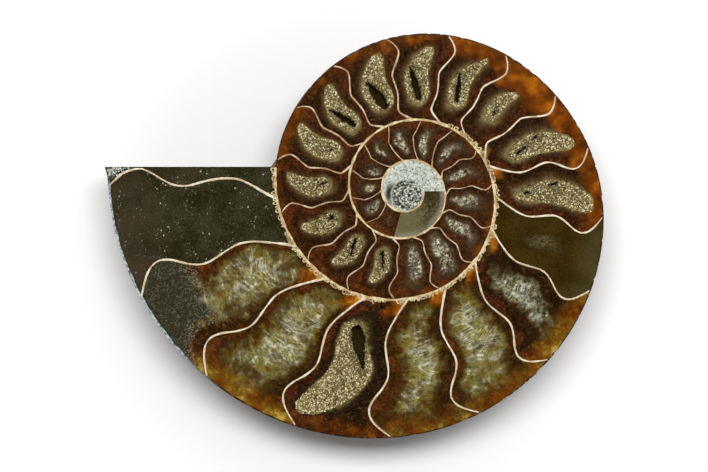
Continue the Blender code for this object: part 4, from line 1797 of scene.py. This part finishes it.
@dataclass(frozen=True)
class Crystal:
    """A short prism with a skewed point, its measures as shares of its width."""

    foot: tuple[float, float] = (0.55, -0.5)
    neck: tuple[float, float] = (0.52, 0.15)
    tip: float = 0.62
    skew: float = 0.12
    lean: float = 0.45
    below_face: float = 0.01 * MM

    def add(self, draft: MeshDraft, chance: Chance, stand: Array, size: float, top: float,
            gloom: float = 0.0) -> None:
        """Add one crystal with its own turn, lean and tone.

        Args:
            draft: the draft it joins.
            chance: source of its differences.
            stand: where it stands.
            size: its width.
            top: height of the face.
            gloom: how dark it is, from painted shade by the slit and darker patches.
        """
        axis = Vector((chance.normal(0, self.lean), chance.normal(0, self.lean), 1.0))
        turn = np.array(axis.normalized().to_track_quat("Z", "X").to_matrix())
        sides = int(chance.integers(4, 7))
        way = chance.uniform(0, 2 * math.pi) + 2 * math.pi * np.arange(sides) / sides
        ring = np.stack((np.cos(way), np.sin(way)), axis=-1)
        loops = [np.column_stack((ring * reach, np.full(sides, height)))
                 for reach, height in (self.foot, self.neck)]
        tip = [chance.normal(0, self.skew), chance.normal(0, self.skew), self.tip]
        points = np.vstack((*loops, tip))
        placed = stand + size * points @ turn.T
        placed[:, 2] = np.minimum(placed[:, 2], top - self.below_face)
        low, high = np.arange(sides), sides + np.arange(sides)
        tips = np.column_stack((high, np.roll(high, -1), np.full(sides, 2 * sides)))
        draft.add(placed, [low[None, ::-1], skirt(high, low), tips], glint=chance.uniform(0.0, 1.0),
                  gloom=gloom)


@dataclass
class CrystalLining:
    """The crust of crystals in one hollow: a rough bed with pointed crystals on it.

    The bed's rings reach from just outside the mouth to its middle, as shares of the mouth.
    """

    chamber: Chamber
    crystal: float = 0.40 * MM
    brim: float = 0.06 * MM
    bank: float = 0.55 * MM
    shell: float = 0.35 * MM
    slit_depth: float = 2.4 * MM
    jag: float = 0.11 * MM
    jag_sizes: tuple[float, float] = (0.42 * MM, 0.2 * MM)
    sides: int = 120
    rings: int = 34
    reach: tuple[float, float] = (1.12, 0.02)
    scatter: float = 0.05 * MM
    roughness: float = 0.1
    first_seed: int = 100

    def slit_gap(self, plan: Array) -> Array:
        """How far places lie outside the slits.

        Args:
            plan: positions in plan.

        Returns:
            The distance to the nearest slit's edge, below zero inside it.
        """
        nearest = np.full(len(plan), np.inf)
        for slit in self.chamber.core.slits:
            line, half = slit.course(self.chamber.coil)
            gap = np.linalg.norm(plan[:, None, :] - line[None, :, :], axis=-1) - half[None, :]
            nearest = np.minimum(nearest, gap.min(axis=1))
        coarse, fine = self.jag_sizes
        return nearest + self.jag * (ripple(plan, coarse) + 0.4 * ripple(plan[..., ::-1], fine))

    def depth_at(self, gap: Array, inward: Array) -> Array:
        """Depth of the bed below the face.

        Args:
            gap: distance outside the slits.
            inward: how far in from the mouth the places lie, 0 to 1.

        Returns:
            The depth at each place.
        """
        slope = self.brim + self.bank * inward ** 0.7
        floor = min(self.chamber.core.depth - 0.25 * MM, self.slit_depth)
        return slope + ease(gap, 0.15 * MM, -0.40 * MM) * np.maximum(floor - slope, 0.0)

    def build(self) -> bpy.types.Object:
        """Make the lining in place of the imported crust."""
        hollow, coil = self.chamber.core, self.chamber.coil
        chance = np.random.default_rng(self.first_seed + hollow.number)
        levels = np.linspace(*self.reach, self.rings)
        rings = np.stack([hollow.outline(self.chamber, float(size), self.sides)
                          for size in levels], axis=1)
        flat = rings.reshape(-1, 2)
        inward = np.broadcast_to(1.0 - np.clip(levels, 0.0, 1.0), rings.shape[:2]).reshape(-1)
        flat = flat + chance.normal(0.0, self.scatter, flat.shape) * (inward > 0.05)[:, None]
        gap = self.slit_gap(flat)
        rough = chance.uniform(-self.roughness, self.roughness, len(flat)) * MM
        depth = self.depth_at(gap, inward) + rough * (inward > 0.02)
        upper = coil.lift(flat, np.clip(depth, 0.04 * MM, hollow.depth - 0.1 * MM))
        upper = upper.reshape(*rings.shape[:2], 3)
        lower = upper - np.array([0.0, 0.0, self.shell])
        draft = MeshDraft(LINING_NODE % hollow.number + "_crystals", ("glint", "bare", "gloom"))
        within = ease(inward, 0.0, 0.12)
        # The bed takes painted shade that darkens it inside the slit
        draft.add_slab(upper, lower, closed=True, glint=chance.uniform(0.05, 0.20 + 0.3 * within),
                       bare=chance.uniform(0.4, 0.9, len(flat)) * within,
                       gloom=ease(gap, 0.10 * MM, -0.25 * MM))
        self.add_crystals(draft, chance)
        item = draft.build([CrystalFinish("crystals_%02d" % hollow.number)], "calcite_crystals",
                           crease=0.0)
        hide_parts(LINING_NODE % hollow.number)
        return item

    def add_crystals(self, draft: MeshDraft, chance: Chance) -> None:
        """Stand crystals on the bed.

        Args:
            draft: the lining's draft.
            chance: source of their places and sizes.
        """
        hollow, coil, pitch = self.chamber.core, self.chamber.coil, 0.80 * self.crystal
        mouth = hollow.outline(self.chamber)
        steps = [np.arange(low, high, pitch)
                 for low, high in zip(mouth.min(axis=0), mouth.max(axis=0))]
        spots = np.stack(np.meshgrid(*steps), axis=-1).reshape(-1, 2)
        spots = spots + chance.uniform(-0.35, 0.35, spots.shape) * self.crystal
        near = hollow.nearness(self.chamber, *coil.find(spots, hollow.at_angle))
        gaps = self.slit_gap(spots)
        depths = self.depth_at(gaps, np.clip(1.0 - near, 0.0, 1.0))
        crystal = Crystal()
        for spot, inside, gap, depth in zip(spots, near, gaps, depths):
            size = self.crystal * chance.uniform(0.5, 1.05)
            if inside > 1.03 or gap < -0.05 * MM:
                continue
            stand = np.array([*spot, coil.top - depth])
            # Painted shade darkens crystals near and in the slit; ripple patches further into the
            # hollow darken some too
            patch = ease(ripple(spot, 0.7 * MM), 0.2, 0.8) * ease(inside, 0.85, 0.45)
            patches_and_slit_shade = patch + ease(gap, 0.6 * MM, 0.0)
            gloom = 0.55 * min(float(patches_and_slit_shade), 1.0) + 0.3 * float(ease(gap, 0.0, -0.3 * MM))
            crystal.add(draft, chance, stand, size, coil.top, gloom)


@dataclass
class ChippedCorner:
    """Broken spar on the chipped corner of the mouth."""

    coil: Coil
    count: int = 150
    edge_gap: float = 0.5 * MM
    near: float = 362.0
    seed: int = 31

    def build(self) -> bpy.types.Object:
        """Make the crystals on the break."""
        chance = np.random.default_rng(self.seed)
        along, beside, _depth = self.coil.chip_size
        end = self.coil.cut_angle(1.0, TURN)
        corner = self.coil.spot(end, self.coil.outer(end))
        draft = MeshDraft("chipped_corner_spar", ("glint", "bare", "gloom"))
        crystal = Crystal(lean=0.6)
        while draft.count < 9 * self.count:
            across, down = chance.uniform(0.0, 1.0), chance.uniform(0.0, 1.0)
            size = chance.uniform(0.35, 0.70) * MM
            if across + down > 1.0:
                continue
            plan = corner + np.array([(0.06 + 0.94 * across) * along,
                                      -(0.10 + 0.90 * down) * beside])
            angle, _share = self.coil.find(plan, self.near)
            reach = np.linalg.norm(plan - np.array(self.coil.centre))
            if reach > self.coil.outer(angle) - self.edge_gap:
                continue
            stand = np.array([*plan, self.coil.top - float(self.coil.chip(plan)) - 0.02 * MM])
            crystal.add(draft, chance, stand, size, self.coil.top)
        return draft.build([CrystalFinish("corner_spar", GREY_TIPS)], "polished_stone", crease=0.0)


@dataclass(frozen=True)
class Lamp:
    """A soft rectangular lamp that faces the stone; its size is along X, then its height."""

    name: str
    place: tuple[float, float, float]
    size: tuple[float, float]
    watts: float
    mirrored: bool = True

    def build(self) -> None:
        """Hang the lamp."""
        lamp = bpy.data.lights.new(self.name, "AREA")
        lamp.shape, lamp.energy = "RECTANGLE", self.watts
        lamp.size, lamp.size_y = self.size
        item = bpy.data.objects.new(self.name, lamp)
        item.location = self.place
        item.rotation_euler = (-Vector(self.place)).to_track_quat("-Z", "Y").to_euler()
        item.visible_glossy = self.mirrored
        bpy.context.scene.collection.objects.link(item)


@dataclass
class Studio:
    """A pale floor, soft lamps and the camera, whose frame's height the stone fills by a share."""

    lamps: tuple[Lamp, ...] = (Lamp("key", (0.01, 0.27, 0.78), (0.80, 0.28), 6.7, mirrored=False),
                               Lamp("side", (0.60, 0.12, 0.50), (0.60, 0.60), 0.6))
    fill: float = 0.86
    lens: float = 100.0
    frame_width: int = 708
    frame_height: int = 472
    floor_size: float = 6.0
    floor_rows: int = 24
    floor_drop: float = 0.02 * MM

    def build(self) -> None:
        """Make the floor, the light and the camera."""
        self.make_floor()
        self.make_world()
        for lamp in self.lamps:
            lamp.build()
        self.make_camera()

    def make_floor(self) -> None:
        """A large pale sheet under the stone."""
        count = self.floor_rows
        run = np.linspace(-self.floor_size / 2, self.floor_size / 2, count)
        mesh = bpy.data.meshes.new("floor")
        mesh.from_pydata([(x, y, -self.floor_drop) for x in run for y in run], [],
                         grid_faces(np.arange(count * count).reshape(count, count)).tolist())
        mesh.materials.append(PaperFinish("floor_paper").material)
        floor = bpy.data.objects.new("floor", mesh)
        bpy.context.scene.collection.objects.link(floor)
        floor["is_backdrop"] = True

    def make_world(self) -> None:
        """White where it is seen, and a softer light that is dimmer overhead."""
        world = bpy.data.worlds.new("studio")
        bpy.context.scene.world = world
        world.use_nodes = True
        sheet = NodeSheet(world.node_tree)
        direction = sheet.node("ShaderNodeTexCoord", {}).outputs["Generated"]
        up = sheet.node("ShaderNodeSeparateXYZ", {0: direction}).outputs["Z"]
        camera = sheet.node("ShaderNodeLightPath", {}).outputs["Is Camera Ray"]
        strength = sheet.math("MAXIMUM", sheet.step(up, 0.35, 0.95, 0.25, 0.03), camera)
        background = sheet.node("ShaderNodeBackground",
                                {"Color": (1.0, 1.0, 1.0), "Strength": strength})
        sheet.node("ShaderNodeOutputWorld", {"Surface": background.outputs[0]})

    def make_camera(self) -> None:
        """Look straight down on the polished face, with +Y up in the frame."""
        low, high = PACKED_BOUNDS
        camera = bpy.data.cameras.new("camera")
        camera.lens = self.lens
        item = bpy.data.objects.new("camera", camera)
        sensor_height = camera.sensor_width * self.frame_height / self.frame_width
        distance = (high.y - low.y) / self.fill * self.lens / sensor_height
        item.location = ((low.x + high.x) / 2, (low.y + high.y) / 2, high.z + distance)
        bpy.context.scene.collection.objects.link(item)
        bpy.context.scene.camera = item
        bpy.context.scene.view_settings.view_transform = "Standard"


def main() -> None:
    """Build the pieces in order, then the studio, and log each one."""
    logging.basicConfig(level=logging.INFO, format="%(name)s: %(message)s")
    coil = Coil.from_frame()
    plan = ChamberPlan(coil)
    walls = ShellWalls(plan)
    pieces = [StoneBody(coil).build(plan), *ChamberFillings(plan).build(),
              CoilCentre(coil).build(), walls.build_septa(), walls.build_coiled_wall(),
              walls.build_rim(), ChippedCorner(coil).build()]
    pieces += [CrystalLining(chamber).build() for chamber in plan.hollows]
    for piece in pieces:
        LOG.info("%s: %d faces", piece.name, len(piece.data.polygons))
    Studio().build()
    sizes = {"cad": PACKED_BOUNDS, "visual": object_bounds()}
    {key: [list(corner) for corner in corners] for key, corners in sizes.items()}


if __name__ == "__main__":
    main()
